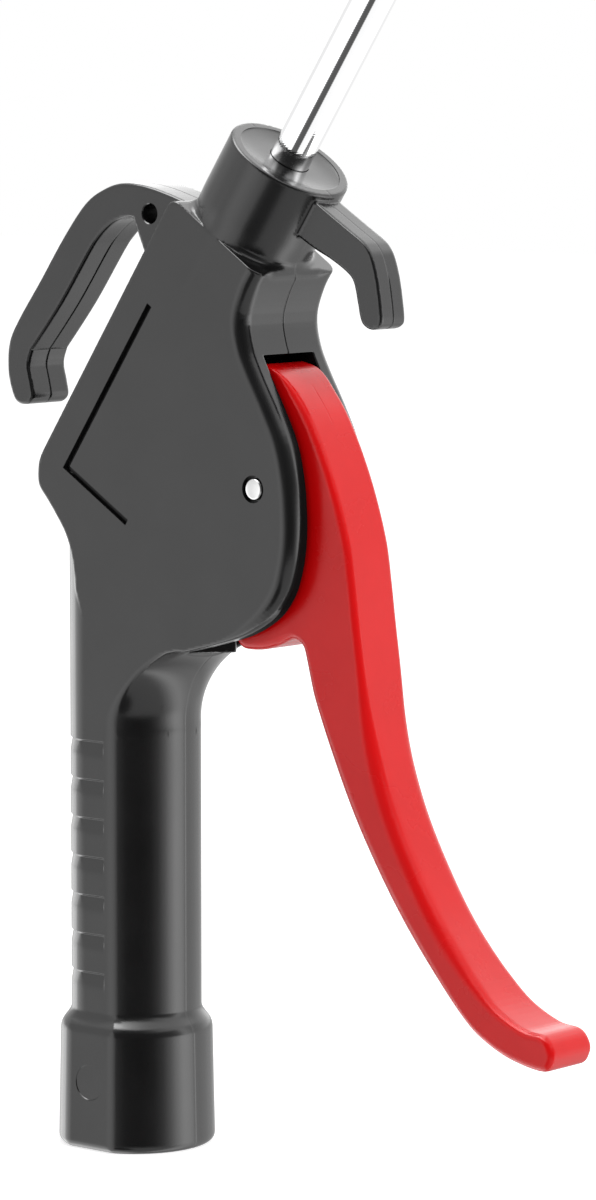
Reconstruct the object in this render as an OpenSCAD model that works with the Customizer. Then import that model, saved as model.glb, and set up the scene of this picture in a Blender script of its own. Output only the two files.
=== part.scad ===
// Pneumatic air duster: a one-piece moulded body with a hanging hook, a red
// squeeze lever on a cross pin, a poppet valve behind the lever and a tilted
// chromed nozzle. +Z is up along the handle, +X points to the lever side, and
// the origin is the centre of the inlet face, where the air hose screws in.

/* [Base] */
// Diameter of the round base at the inlet face
base_d = 25; // [23:0.5:30]
// Height of the base with its rounded shoulder
base_h = 22.4; // [18:0.2:27]
// Width of the base across its two side flats
base_flat_w = 23.2; // [22:0.2:26]
// Diameter of the shallow ejector mark on the near flat
mark_d = 5.7; // [4:0.1:7]

/* [Handle] */
// Diameter of the handle
grip_d = 21.2; // [20.6:0.2:23]
// Height at which the handle starts to flare out to the head
flare_z = 69.6; // [60:0.2:80]
// Radius of the flare under the head
flare_r = 14; // [12:1:16]
// Number of finger ridges on the back
ridge_n = 7; // [1:1:9]
// Distance from one ridge to the next
ridge_pitch = 6.3; // [4:0.1:7]
// Height of the lowest ridge
ridge_z = 29; // [26:1:32]
// Depth of the step at each ridge
ridge_deep = 0.45; // [0.2:0.05:0.8]
// Height over which a step fades out
ridge_fade = 2.3; // [1:0.1:3.5]

/* [Head] */
// Thickness of the head from side to side
head_t = 20; // [18:0.5:20.5]
// Length of the head, front to back
head_l = 56; // [48:1:66]
// Height of the head above its lowest edge
head_h = 72; // [64:1:84]
// Height of the lowest edge of the head
head_z = 82; // [78:1:90]
// Length of the straight back edge
back_l = 48; // [42:1:52]
// Width of the marking groove on the near side
line_w = 0.9; // [0.4:0.1:1]
// Depth of the marking groove
line_deep = 0.4; // [0.2:0.1:0.8]

/* [Hooks] */
// Width of the hanging hook
hook_w = 9; // [6:0.5:12]
// Distance of the hanging hook's outside behind the head's back edge
hook_reach = 20; // [16:0.5:24]
// Length of the hanging hook along the back edge
hook_drop = 50; // [42:1:54]
// Diameter of the hole in the root of the hanging hook
hole_d = 3.1; // [2:0.1:4]
// Width of the front hook
finger_w = 6; // [4:0.5:8]
// Reach of the front hook from the nozzle axis
finger_reach = 31; // [26:0.5:36]

/* [Nozzle] */
// Lean of the nozzle and the back edge from the vertical, in degrees
tilt = 34; // [30:1:38]
// Diameter of the collar round the nozzle
collar_d = 20.2; // [18:0.2:21]
// Height of the collar above the head's shoulder
collar_h = 13.9; // [13:0.1:18]
// Outside diameter of the nozzle tube
tube_d = 6.5; // [5.5:0.1:7.5]
// Wall of the nozzle tube
tube_wall = 1; // [0.6:0.1:1.2]
// Length of nozzle tube in front of the collar
tube_l = 100; // [60:5:200]
// Diameter of the air outlet at the tip
outlet_d = 2.5; // [1.5:0.1:3.5]

/* [Inlet] */
// Bore of the inlet thread, the minor diameter of G 1/4
inlet_d = 11.445; // [9:0.001:12]
// Depth of the inlet thread
inlet_l = 12; // [10:0.5:14]
// Outside diameter of the brass inlet insert
insert_d = 18; // [16:0.5:19]
// Length of the inlet insert
insert_l = 16; // [15:0.5:18]
// Diameter of the airway in the handle
airway_d = 8; // [6:0.5:8]

/* [Lever] */
// Width of the lever
lever_w = 10.6; // [9:0.2:12.8]
// Distance from the pin forward to the lever's tip
lever_reach = 55; // [46:1:66]
// Distance from the pin down to the lever's tip
lever_drop = 86; // [76:1:90]
// Diameter of the lever's cross pin
pin_d = 3.4; // [2.6:0.1:4]
// Angle through which the lever swings
lever_swing = 18; // [10:1:18]

/* [Valve] */
// Distance of the valve axis below the pin
valve_drop = 10.2; // [9:0.2:11]
// Diameter of the valve stem
stem_d = 3; // [2.4:0.1:3.4]
// Diameter of the chamber that holds the valve spring
chamber_d = 8; // [7.6:0.1:9]
// Opening in the valve seat
port_d = 5; // [4.6:0.1:5.4]
// Wire diameter of the valve spring
wire_d = 0.7; // [0.5:0.05:0.8]
// Turns of the valve spring
spring_turns = 5; // [3:0.5:5]

/* [Hidden] */
$fn = 48;

// Clearance between two fixed pieces that fit together
fit_gap = 0.03;
// Clearance round a piece that turns or slides in its hole
run_gap = 0.08;
// Clearance between moving faces that meet at rest
rest_gap = 0.05;
// Overrun of every cut past the face it opens
cut = 1;
// Steps of a smooth curve between two of its points
curve_n = 4;

// Half sizes that many pieces use
half_t = head_t / 2;
grip_r = grip_d / 2;
// Half width of the flat where the handle's round meets the head's side
flat_x = sqrt(max(0, pow(grip_r, 2) - pow(half_t, 2)));

// Head outline: its back end, and the nozzle axis where it leaves the shoulder
nozzle_share = [0.67, 0.928];
bulge_z_share = 0.125;
head_x = -0.223 * head_l;
nozzle_x = head_x + nozzle_share[0] * head_l;
nozzle_z = head_z + nozzle_share[1] * head_h;

// Unit vectors along the nozzle and across it, forward
along = [sin(tilt), cos(tilt)];
across = [cos(tilt), -sin(tilt)];
nozzle_o = [nozzle_x, nozzle_z];

// Back edge, which is tangent to the head's thickness round the nozzle axis
back_top = nozzle_o - half_t * across;
back_low = back_top - back_l * along;
bulge_foot_z = head_z + bulge_z_share * head_h;

// Front edge of the head, from the shoulder down round the front to the handle
front_shares = [[0.839, 0.839], [0.807, 0.8], [0.782, 0.742], [0.794, 0.683], [0.827, 0.628],
    [0.88, 0.556], [0.928, 0.481], [0.954, 0.4], [0.963, 0.32], [0.961, 0.26], [0.948, 0.202],
    [0.922, 0.147], [0.868, 0.096], [0.777, 0.055], [0.67, 0.029], [0.562, 0.007]];
// Back bulge, as shares of its width behind the flat and of its height
bulge_shares = [[1.26, 0.12], [1.33, 0.23], [1.27, 0.315], [1, 0.405], [0.73, 0.5],
    [0.44, 0.615], [0.24, 0.745], [0.13, 0.87], [0.07, 1]];

// Lever pin
pin_x_share = 0.8214;
pin_z_share = 0.3778;
pin_x = head_x + pin_x_share * head_l;
pin_z = head_z + pin_z_share * head_h;
pin_sink = 0.05;
pin_ring = 0.45;
pin_ring_deep = 1.1;

// Valve stations along its axis, from the back of the chamber to the lever
valve_z = pin_z - valve_drop;
chamber_back = 4.1;
chamber_x = chamber_back - grip_r;
cup_t = 2;
nut_t = 1;
seal_t = 1.1;
flange_t = 0.6;
seat_t = 2.6;
cage_t = 3.1;
gland_l = 6.6;
gland_sink = 0.3;
stem_out = 3.5;
spring_l = 7.25;
cup_x = chamber_x + spring_l;
seal_x = cup_x + cup_t;
seat_x = seal_x + seal_t + rest_gap;
cage_x = seat_x + seat_t;
gland_x = cage_x + cage_t;
slot_x = gland_x + gland_l + gland_sink;
stem_x = slot_x + stem_out;
// Ledges between the chamber, the wider seat bore and the still wider gland bore
seat_ledge = 0.75;
gland_ledge = 0.75;
stem_r = stem_d / 2;
seat_r = chamber_d / 2 + seat_ledge;
gland_r = seat_r + gland_ledge;
// Room for the air round the flange in the port, and round the cup in the chamber
port_gap = 0.3;
cup_gap = 0.6;
flange_r = port_d / 2 - port_gap;
cup_r = chamber_d / 2 - cup_gap;
spring_r = cup_r - wire_d / 2;
nut_r = spring_r - wire_d;
// The seal stands out round the cup
seal_over = 0.12;

// Slot for the lever: the room beside it, its step above the pin and its roof
slot_gap = 0.7;
slot_w = lever_w + 2 * slot_gap;
slot_step_x_share = 0.684;
slot_step_x = head_x + slot_step_x_share * head_l;
slot_low_rise = 0.8;
slot_high_rise = 6.8;
lever_top_r = 19.3;
roof_gap = 1.3;
slot_roof_r = lever_top_r + roof_gap;

// O-rings: wire diameters
seat_ring_d = 0.86;
gland_ring_d = 0.86;
stem_ring_d = 1.26;
nozzle_ring_d = 1.06;
inlet_ring_d = 1.5;
inlet_ring_z = insert_l - inlet_ring_d;
gland_ring_x = 1.2;
tube_ring_z = 2.2;

// Stem packing: its counterbore, which holds the O-ring, and the washer in front of it
packing_r = stem_r + run_gap + stem_ring_d + 2 * fit_gap;
packing_l = 2;
washer_t = 0.5;
// Room for the air between the stem and the cage
cage_gap = 0.7;

// Nozzle stations along its axis, from the shoulder
bush_low = -8;
bush_high = 5.5;
bush_wall = 2.35;
tube_r = tube_d / 2;
tube_end = 7.5;
// The tube's thinner end, whose step seats on the collar's face
stub_step = 0.3;
stub_r = tube_r - stub_step;
bush_r = tube_r + bush_wall;
rim_deep = 0.3;
neck_l = 12;
neck_share = 0.68;
bore_r = tube_r - tube_wall;
duct_l = 45;
duct_r = 2.5;
link_r = 1.75;

// A point between p1 and p2 of a smooth curve that also heeds p0 and p3
function bend(p0, p1, p2, p3, t) = 0.5 * (2 * p1 + (p2 - p0) * t
    + (2 * p0 - 5 * p1 + 4 * p2 - p3) * t * t + (3 * p1 - p0 - 3 * p2 + p3) * t * t * t);

// A smooth curve through a list of points
function curve(p) = [for (i = [0:len(p) - 2]) for (j = [0:curve_n - 1])
    bend(p[max(i - 1, 0)], p[i], p[i + 1], p[min(i + 2, len(p) - 1)], j / curve_n), p[len(p) - 1]];

// Places of a list of shares, from an origin and two directions that have their lengths
function placed(shares, origin, u, v) = [for (s = shares) origin + s[0] * u + s[1] * v];

// Stands an outline drawn in X and Z upright, centred on the middle plane
module upright(width) {
    rotate([90, 0, 0]) linear_extrude(width, center = true) children();
}

// Turns a piece drawn along +Z to the nozzle axis, its origin at the shoulder
module at_nozzle() {
    translate([nozzle_x, 0, nozzle_z]) rotate([0, tilt, 0]) children();
}

// Turns a piece drawn along +Z to the valve axis, which runs along +X
module at_valve(x) {
    translate([x, 0, valve_z]) rotate([0, 90, 0]) children();
}

// A flat ring or tube along +Z
module tube(outer, inner, length) {
    difference() {
        cylinder(length, r = outer);
        translate([0, 0, -cut]) cylinder(length + 2 * cut, r = inner);
    }
}

// An O-ring of mean radius r, centred on z
module oring(r, d, z) {
    translate([0, 0, z]) rotate_extrude() translate([r, 0]) circle(d = d, $fn = 24);
}

// Outline of the head: back bulge, straight back edge, shoulder and front lobe
function bulge_outline() = placed(bulge_shares, [-flat_x, back_low[1]],
    [back_low[0] + flat_x, 0], [0, bulge_foot_z - back_low[1]]);

function front_outline() = placed(front_shares, [head_x, head_z], [head_l, 0], [0, head_h]);

// The corner between the back edge and the shoulder is rounded
corner_r = 2;
function corner_outline() = [for (a = [0:22.5:90])
    back_top + corner_r * ((1 - cos(a)) * across - (1 - sin(a)) * along)];

function head_outline() = concat(corner_outline(), curve(front_outline()), [[0, head_z]],
    reverse(curve(concat([back_low], bulge_outline()))));

function reverse(p) = [for (i = [len(p) - 1:-1:0]) p[i]];

// Hanging hook, as shares of its drop down the back edge and of its reach behind it
hook_outer_shares = [[0.02, -0.15], [0.05, 0.15], [0.09, 0.44], [0.14, 0.67], [0.2, 0.81],
    [0.29, 0.92], [0.44, 0.965], [0.61, 0.98], [0.77, 1], [0.86, 0.98], [0.94, 0.865],
    [0.99, 0.72], [1, 0.63], [0.98, 0.545], [0.945, 0.525], [0.91, 0.605], [0.87, 0.71],
    [0.82, 0.745]];
hook_inner_shares = [[0.82, 0.745], [0.62, 0.69], [0.41, 0.67], [0.345, 0.65], [0.29, 0.61],
    [0.25, 0.555], [0.22, 0.485], [0.21, 0.435]];
hook_root_shares = [[0.32, 0], [0.34, -0.15]];
hook_hole_share = [0.156, 0.305];

function hook_place(shares) = placed(shares, back_top, -hook_drop * along, -hook_reach * across);

function hook_outline() = concat(curve(hook_place(hook_outer_shares)),
    curve(hook_place(hook_inner_shares)), hook_place(hook_root_shares));

// Front hook, as shares of its reach and of its rise above the shoulder
finger_rise = 13;
finger_top_shares = [[0.2, 0.97], [0.35, 0.975], [0.55, 0.99], [0.665, 1], [0.715, 0.985],
    [0.77, 0.93], [0.85, 0.78], [0.93, 0.585], [0.995, 0.4], [1, 0.31], [0.97, 0.215],
    [0.92, 0.185], [0.877, 0.225], [0.81, 0.375], [0.74, 0.52], [0.675, 0.555], [0.56, 0.54],
    [0.455, 0.5], [0.35, 0.477], [0.2, 0.46]];

function finger_outline() = curve(placed(finger_top_shares, nozzle_o, finger_reach * across,
    finger_rise * along));

// Side marks: the corner and the two ends of the thin groove
line_shares = [[0.443, 0.767], [0.107, 0.394], [0.345, 0.283]];

module head_plate() {
    upright(head_t) polygon(head_outline());
}

module handle_bar() {
    cover = 8;
    top_z = back_low[1] - cover;
    intersection() {
        translate([0, 0, base_h / 2]) cylinder(top_z - base_h / 2, d = grip_d);
        translate([-base_d, -half_t, 0]) cube([2 * base_d, head_t, top_z + cut]);
    }
}

// The round handle widens in a trumpet towards the underside of the head
module flare() {
    swing = 71;
    arc = [for (i = [0:12]) let (a = i * swing / 12)
        [grip_r + flare_r * (1 - cos(a)), flare_z + flare_r * sin(a)]];
    top_z = flare_z + flare_r * sin(swing);
    intersection() {
        rotate_extrude() polygon(concat([[0, flare_z]], arc, [[0, top_z]]));
        translate([0, -half_t, flare_z - cut]) cube([head_l, head_t, top_z - flare_z + 2 * cut]);
    }
}

module base() {
    base_r = base_d / 2;
    edge = 1;
    round_r = max(edge, base_r - grip_r);
    arc = [for (i = [0:6]) let (a = i * 15)
        [base_r - round_r + round_r * cos(a), base_h - round_r + round_r * sin(a)]];
    intersection() {
        rotate_extrude() polygon(concat([[0, 0], [base_r - edge, 0], [base_r, edge]], arc,
            [[0, base_h]]));
        translate([-base_d, -base_flat_w / 2, -cut]) cube([2 * base_d, base_flat_w, base_h + 2 * cut]);
    }
}

module collar() {
    rim = 1;
    rim_w = 1.6;
    collar_r = collar_d / 2;
    at_nozzle() rotate_extrude() polygon([[0, -collar_r], [collar_r, -collar_r],
        [collar_r, collar_h - rim], [collar_r - rim, collar_h], [collar_r - rim_w, collar_h],
        [collar_r - rim_w, collar_h - rim_deep], [0, collar_h - rim_deep]]);
}

// One finger ridge: a sharp step that fades out below, round the back and over the flats
module ridge_cut(z) {
    reach_x = 1.5;
    outer = max(grip_r, half_t) + cut;
    translate([0, 0, z]) intersection() {
        rotate_extrude() polygon([[grip_r - ridge_deep, 0], [outer, 0], [outer, -ridge_fade],
            [grip_r, -ridge_fade]]);
        translate([-outer, -outer, -ridge_fade]) cube([outer + reach_x, 2 * outer, ridge_fade]);
    }
    for (side = [-1, 1]) translate([reach_x, 0, z]) rotate([90, 0, -90])
        linear_extrude(flat_x + reach_x + cut) polygon([[side * (half_t - ridge_deep), 0],
            [side * outer, 0], [side * outer, -ridge_fade], [side * half_t, -ridge_fade]]);
}

module slot_cut() {
    far_x = head_x + 2 * head_l;
    low_z = flare_z;
    arc = [for (i = [0:6]) let (a = 90 + (1 - i / 6) * asin((pin_x - slot_step_x) / slot_roof_r))
        [pin_x + slot_roof_r * cos(a), pin_z + slot_roof_r * sin(a)]];
    upright(slot_w) polygon(concat([[slot_x, low_z], [slot_x, pin_z + slot_low_rise],
        [slot_step_x, pin_z + slot_high_rise]], arc, [[far_x, pin_z + slot_roof_r], [far_x, low_z]]));
}

module pin_cuts() {
    translate([pin_x, 0, pin_z]) rotate([90, 0, 0]) {
        cylinder(head_t + 2 * cut, d = pin_d + 2 * fit_gap, center = true);
        for (side = [-1, 1]) translate([0, 0, side * (half_t - pin_ring_deep / 2 + cut / 2)])
            cylinder(pin_ring_deep + cut, r = pin_d / 2 + pin_ring, center = true);
    }
}

module line_cuts() {
    p = placed(line_shares, [head_x, head_z], [head_l, 0], [0, head_h]);
    for (i = [0, 1]) let (d = p[i + 1] - p[i], turn = atan2(d[1], d[0]))
        translate([p[i][0], -half_t, p[i][1]]) rotate([0, -turn, 0])
            translate([-line_w / 2, -cut, -line_w / 2]) cube([norm(d) + line_w, cut + line_deep, line_w]);
}

module hook_hole() {
    p = hook_place([hook_hole_share])[0];
    translate([p[0], 0, p[1]]) rotate([90, 0, 0]) cylinder(hook_w + 2 * cut, d = hole_d, center = true);
}

module mark_cut() {
    deep = 0.15;
    mark_z = base_h / 2;
    translate([0, -base_flat_w / 2 + deep, mark_z]) rotate([90, 0, 0]) cylinder(deep + cut, d = mark_d);
}

// Valve bores: spring chamber, seat bore and gland thread, open to the lever slot
module valve_cuts() {
    at_valve(chamber_x) cylinder(seat_x - chamber_x + cut, d = chamber_d);
    at_valve(seat_x) cylinder(gland_x - seat_x + cut, r = seat_r);
    at_valve(gland_x) cylinder(slot_x - gland_x + cut, r = gland_r);
}

// Airways: up the handle, and from the valve's cage by a slanting hole to the nozzle
module air_cuts() {
    link_top = nozzle_o - duct_l * along;
    link_low = [cage_x + cage_t / 2, valve_z + seat_r - link_r];
    d = link_top - link_low;
    translate([0, 0, insert_l - cut]) cylinder(valve_z - insert_l + cut, d = airway_d);
    at_nozzle() translate([0, 0, -duct_l]) cylinder(duct_l, r = duct_r);
    translate([link_low[0], 0, link_low[1]]) rotate([0, atan2(d[0], d[1]), 0])
        cylinder(norm(d), r = link_r);
}

// Outside of the brass inlet insert, with two anchoring grooves and one for its ring
module insert_form(grow) {
    r = insert_d / 2 + grow;
    groove = 0.8;
    w = 2;
    low = inlet_l / 4;
    rotate_extrude() polygon([[0, -grow], [r, -grow], [r, low], [r - groove, low],
        [r - groove, low + w], [r, low + w], [r, low + 2 * w], [r - groove, low + 2 * w],
        [r - groove, low + 3 * w], [r, low + 3 * w], [r, insert_l + grow], [0, insert_l + grow]]);
}

module bush_form(grow) {
    r = bush_r + grow;
    groove = 0.6;
    w = 2.4;
    rotate_extrude() polygon([[0, bush_low - grow], [r, bush_low - grow], [r, bush_low + w],
        [r - groove, bush_low + w], [r - groove, bush_low + 2 * w], [r, bush_low + 2 * w],
        [r, bush_high + grow], [0, bush_high + grow]]);
}

// The body is one moulding, from the inlet to the collar with both hooks
module body() {
    color("#3f4042") difference() {
        union() {
            base();
            handle_bar();
            flare();
            head_plate();
            collar();
            upright(hook_w) polygon(hook_outline());
            upright(finger_w) polygon(finger_outline());
        }
        for (i = [0:ridge_n - 1]) ridge_cut(ridge_z + i * ridge_pitch);
        slot_cut();
        pin_cuts();
        line_cuts();
        hook_hole();
        mark_cut();
        valve_cuts();
        air_cuts();
        insert_form(fit_gap);
        at_nozzle() bush_form(fit_gap);
        at_nozzle() cylinder(collar_h + cut, r = stub_r + fit_gap);
    }
}

// Brass insert with the inlet thread's bore, moulded into the base
module inlet_insert() {
    color("#c9a24a") difference() {
        insert_form(0);
        translate([0, 0, -cut]) cylinder(inlet_l + cut, d = inlet_d);
        translate([0, 0, -cut]) cylinder(insert_l + 2 * cut, d = airway_d);
        translate([0, 0, inlet_ring_z - inlet_ring_d / 2])
            tube(insert_d, insert_d / 2 - inlet_ring_d, inlet_ring_d);
    }
}

module inlet_oring() {
    color("#1c1c1c") oring(insert_d / 2 - inlet_ring_d / 2, inlet_ring_d - 2 * fit_gap, inlet_ring_z);
}

// Valve spring: one wire wound along the valve axis, from the chamber's back to the cup
module valve_spring() {
    sides = 6;
    rings = 12;
    wire_r = wire_d / 2;
    run = spring_l - wire_d - 2 * fit_gap;
    count = floor(spring_turns * rings);
    function ring(i) = let (a = 360 * i / rings, z = wire_r + fit_gap + run * i / count)
        [for (k = [0:sides - 1]) let (b = 360 * k / sides, r = spring_r + wire_r * cos(b))
            [r * cos(a), r * sin(a), z + wire_r * sin(b)]];
    points = [for (i = [0:count]) each ring(i)];
    walls = [for (i = [0:count - 1]) for (k = [0:sides - 1]) let (a = i * sides + k,
        b = i * sides + (k + 1) % sides) each [[a, a + sides, b], [b, a + sides, b + sides]]];
    ends = concat([for (k = [1:sides - 2]) [0, k, k + 1]],
        [for (k = [1:sides - 2]) [count * sides, count * sides + k + 1, count * sides + k]]);
    echo(spring_gap = run / spring_turns - wire_d);
    color("#b9bcc0") at_valve(chamber_x) polyhedron(points, concat(walls, ends));
}

// Nut that holds the cup and the seal on the stem
module poppet_nut() {
    color("#c9a24a") at_valve(cup_x - nut_t) tube(nut_r, stem_r + fit_gap, nut_t);
}

// Brass cup behind the seal; the spring pushes on its back
module poppet_cup() {
    color("#c9a24a") at_valve(cup_x) tube(cup_r, stem_r + fit_gap, cup_t);
}

// Rubber disc that closes the seat
module poppet_seal() {
    color("#1c1c1c") at_valve(seal_x) tube(cup_r + seal_over, stem_r + fit_gap, seal_t);
}

// Steel stem with the flange that backs the seal from the front
module valve_stem() {
    tail = nut_t;
    tip = 0.4;
    color("#c4c7ca") at_valve(0) rotate_extrude() polygon([[0, cup_x - tail], [stem_r, cup_x - tail],
        [stem_r, seat_x - rest_gap], [flange_r, seat_x - rest_gap],
        [flange_r, seat_x - rest_gap + flange_t], [stem_r, seat_x - rest_gap + flange_t],
        [stem_r, stem_x - tip], [stem_r - tip, stem_x], [0, stem_x]]);
}

module valve_seat() {
    groove = seat_ring_d + 2 * fit_gap;
    color("#c9a24a") at_valve(seat_x) difference() {
        tube(seat_r - fit_gap, port_d / 2, seat_t - fit_gap);
        translate([0, 0, (seat_t - groove) / 2]) tube(seat_r + cut, seat_r - groove, groove);
    }
}

module seat_oring() {
    color("#1c1c1c") at_valve(seat_x)
        oring(seat_r - seat_ring_d / 2 - fit_gap, seat_ring_d - fit_gap, seat_t / 2);
}

// Cage between the seat and the gland nut, with four ports for the air
module valve_cage() {
    wall = 1.35;
    port = 1.9;
    lip_t = 0.6;
    color("#d8d8d2") at_valve(cage_x) difference() {
        tube(seat_r - fit_gap, stem_r + cage_gap, cage_t - fit_gap);
        translate([0, 0, -cut]) cylinder(cage_t - lip_t + cut, r = seat_r - wall);
        for (a = [0, 90]) rotate([90, 0, a]) translate([0, (cage_t - lip_t) / 2, 0])
            cylinder(2 * (seat_r + cut), d = port, center = true);
    }
}

// Washer and O-ring in the counterbore at the inner end of the gland nut
module stem_washer() {
    color("#c9a24a") at_valve(gland_x) tube(packing_r - fit_gap, stem_r + run_gap, washer_t);
}

module stem_oring() {
    r = stem_r + run_gap + stem_ring_d / 2;
    color("#1c1c1c") at_valve(gland_x)
        oring(r, stem_ring_d - fit_gap, washer_t + fit_gap + stem_ring_d / 2);
}

module gland_oring() {
    color("#1c1c1c") at_valve(gland_x)
        oring(gland_r - gland_ring_d / 2 - fit_gap, gland_ring_d - fit_gap, gland_ring_x);
}

// Brass gland nut that closes the valve bore and guides the stem
module gland_nut() {
    groove = gland_ring_d + 2 * fit_gap;
    key_w = 1.4;
    key_deep = 1;
    color("#c9a24a") at_valve(gland_x) difference() {
        translate([0, 0, fit_gap]) cylinder(gland_l - fit_gap, r = gland_r - fit_gap);
        translate([0, 0, -cut]) cylinder(gland_l + 2 * cut, r = stem_r + run_gap);
        translate([0, 0, -cut]) cylinder(packing_l + cut, r = packing_r);
        translate([0, 0, gland_ring_x - groove / 2]) tube(gland_r + cut, gland_r - groove, groove);
        translate([0, 0, gland_l - key_deep / 2 + cut / 2])
            cube([key_w, 2 * (gland_r + cut), key_deep + cut], center = true);
    }
}

// Lever outline, as shares of its reach from the pin and of its drop below it
lever_front_shares = [[0.012, 0.213], [0.062, 0.188], [0.118, 0.144], [0.165, 0.092],
    [0.21, 0.03], [0.246, -0.032], [0.277, -0.101], [0.295, -0.175], [0.306, -0.228],
    [0.318, -0.282], [0.331, -0.336], [0.35, -0.406], [0.378, -0.477], [0.415, -0.547],
    [0.463, -0.615], [0.53, -0.691], [0.592, -0.752], [0.656, -0.804], [0.723, -0.852],
    [0.802, -0.898], [0.897, -0.928], [0.969, -0.935], [1, -0.955], [1.003, -0.978], [0.969, -1],
    [0.854, -0.988], [0.758, -0.961], [0.692, -0.93], [0.591, -0.865], [0.5, -0.8],
    [0.421, -0.732], [0.351, -0.663], [0.288, -0.594], [0.233, -0.524], [0.185, -0.454],
    [0.145, -0.383], [0.13, -0.345], [0.117, -0.309], [0.104, -0.286], [0.075, -0.276],
    [0.045, -0.28], [0.011, -0.29], [-0.038, -0.299], [-0.084, -0.302], [-0.12, -0.3],
    [-0.14, -0.287], [-0.149, -0.264]];

// Cam face of the lever: an involute about the pin, so that the stem's flat end stays square
cam_a = pin_x - stem_x - rest_gap;
cam_low = lever_swing + 1;
cam_high = -8;

function cam_point(a) = let (h = cam_a + valve_drop * a * PI / 180)
    [pin_x - h * cos(a) + valve_drop * sin(a), pin_z - h * sin(a) - valve_drop * cos(a)];

lever_back_gap = 0.3;
lever_back_x = slot_step_x + lever_back_gap;
lever_knee_rise = 5.6;

function lever_outline() = let (top = acos((pin_x - lever_back_x) / lever_top_r),
    front = placed(lever_front_shares, [pin_x, pin_z], [lever_reach, 0], [0, lever_drop]))
    concat([for (i = [0:6]) let (a = 180 - top + i * (top - 83) / 6)
            [pin_x + lever_top_r * cos(a), pin_z + lever_top_r * sin(a)]],
        curve(front),
        [for (i = [0:8]) cam_point(cam_low + (cam_high - cam_low) * i / 8)],
        [[lever_back_x, pin_z + lever_knee_rise]]);

module lever() {
    color("#d8262a") difference() {
        upright(lever_w) polygon(lever_outline());
        translate([pin_x, 0, pin_z]) rotate([90, 0, 0])
            cylinder(lever_w + 2 * cut, d = pin_d + 2 * run_gap, center = true);
    }
}

module lever_pin() {
    dome = 0.3;
    l = head_t - 2 * pin_sink;
    color("#e4e4e4") translate([pin_x, l / 2, pin_z]) rotate([90, 0, 0]) rotate_extrude()
        polygon([[0, 0], [pin_d / 2 - dome, 0], [pin_d / 2, dome], [pin_d / 2, l - dome],
            [pin_d / 2 - dome, l], [0, l]]);
}

// Brass bush in the collar that the nozzle tube screws into
module nozzle_insert() {
    color("#c9a24a") at_nozzle() difference() {
        bush_form(0);
        translate([0, 0, bush_low - cut])
            cylinder(bush_high - bush_low + 2 * cut, r = stub_r + fit_gap);
        translate([0, 0, tube_ring_z])
            cylinder(nozzle_ring_d + 2 * fit_gap, r = stub_r + nozzle_ring_d + 2 * fit_gap);
    }
}

module nozzle_oring() {
    color("#1c1c1c") at_nozzle() oring(stub_r + nozzle_ring_d / 2 + fit_gap, nozzle_ring_d - fit_gap,
        tube_ring_z + nozzle_ring_d / 2 + fit_gap);
}

// Chromed tube: a thinner end in the bush, and a necked tip with the air outlet
module nozzle_tube() {
    top = collar_h + tube_l;
    face = collar_h - rim_deep + fit_gap;
    neck_r = tube_r * neck_share;
    lip = 0.5;
    color("#dfe3e6") at_nozzle() rotate_extrude() polygon([[bore_r, -tube_end], [stub_r, -tube_end],
        [stub_r, face], [tube_r, face], [tube_r, top - neck_l], [neck_r, top - neck_l / 2],
        [neck_r, top - lip], [neck_r - lip, top], [outlet_d / 2, top],
        [outlet_d / 2, top - neck_l / 2], [bore_r, top - neck_l]]);
}

body();
inlet_insert();
inlet_oring();
valve_spring();
poppet_nut();
poppet_cup();
poppet_seal();
valve_stem();
valve_seat();
seat_oring();
valve_cage();
stem_washer();
stem_oring();
gland_oring();
gland_nut();
lever();
lever_pin();
nozzle_insert();
nozzle_oring();
nozzle_tube();
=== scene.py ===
import logging
import math
from dataclasses import dataclass, field
from enum import Enum
from typing import Callable, Sequence

import bmesh
import bpy
import numpy as np
from mathutils import Matrix, Vector


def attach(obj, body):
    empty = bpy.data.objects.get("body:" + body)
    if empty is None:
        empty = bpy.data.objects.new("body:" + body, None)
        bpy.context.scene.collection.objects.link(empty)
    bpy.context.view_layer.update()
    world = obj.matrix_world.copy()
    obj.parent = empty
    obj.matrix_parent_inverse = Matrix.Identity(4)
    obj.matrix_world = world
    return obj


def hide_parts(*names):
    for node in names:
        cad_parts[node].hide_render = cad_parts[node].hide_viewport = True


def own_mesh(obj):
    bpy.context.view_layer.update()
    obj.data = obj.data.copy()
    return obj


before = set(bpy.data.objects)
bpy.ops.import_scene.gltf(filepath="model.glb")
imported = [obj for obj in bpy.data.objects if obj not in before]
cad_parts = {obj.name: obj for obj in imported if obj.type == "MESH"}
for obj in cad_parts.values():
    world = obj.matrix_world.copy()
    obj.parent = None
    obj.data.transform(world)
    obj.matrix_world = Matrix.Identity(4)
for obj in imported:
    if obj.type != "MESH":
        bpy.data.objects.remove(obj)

MM = 0.001
FIT = 0.03  # clearance between a piece and its seat, in millimetres
NET = 0.42  # usual distance between the planes of a moulded piece's net, in millimetres
log = logging.getLogger("air_duster")

Pair = tuple[float, float]
Array = np.ndarray


# Sizes and places that pieces share

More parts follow.
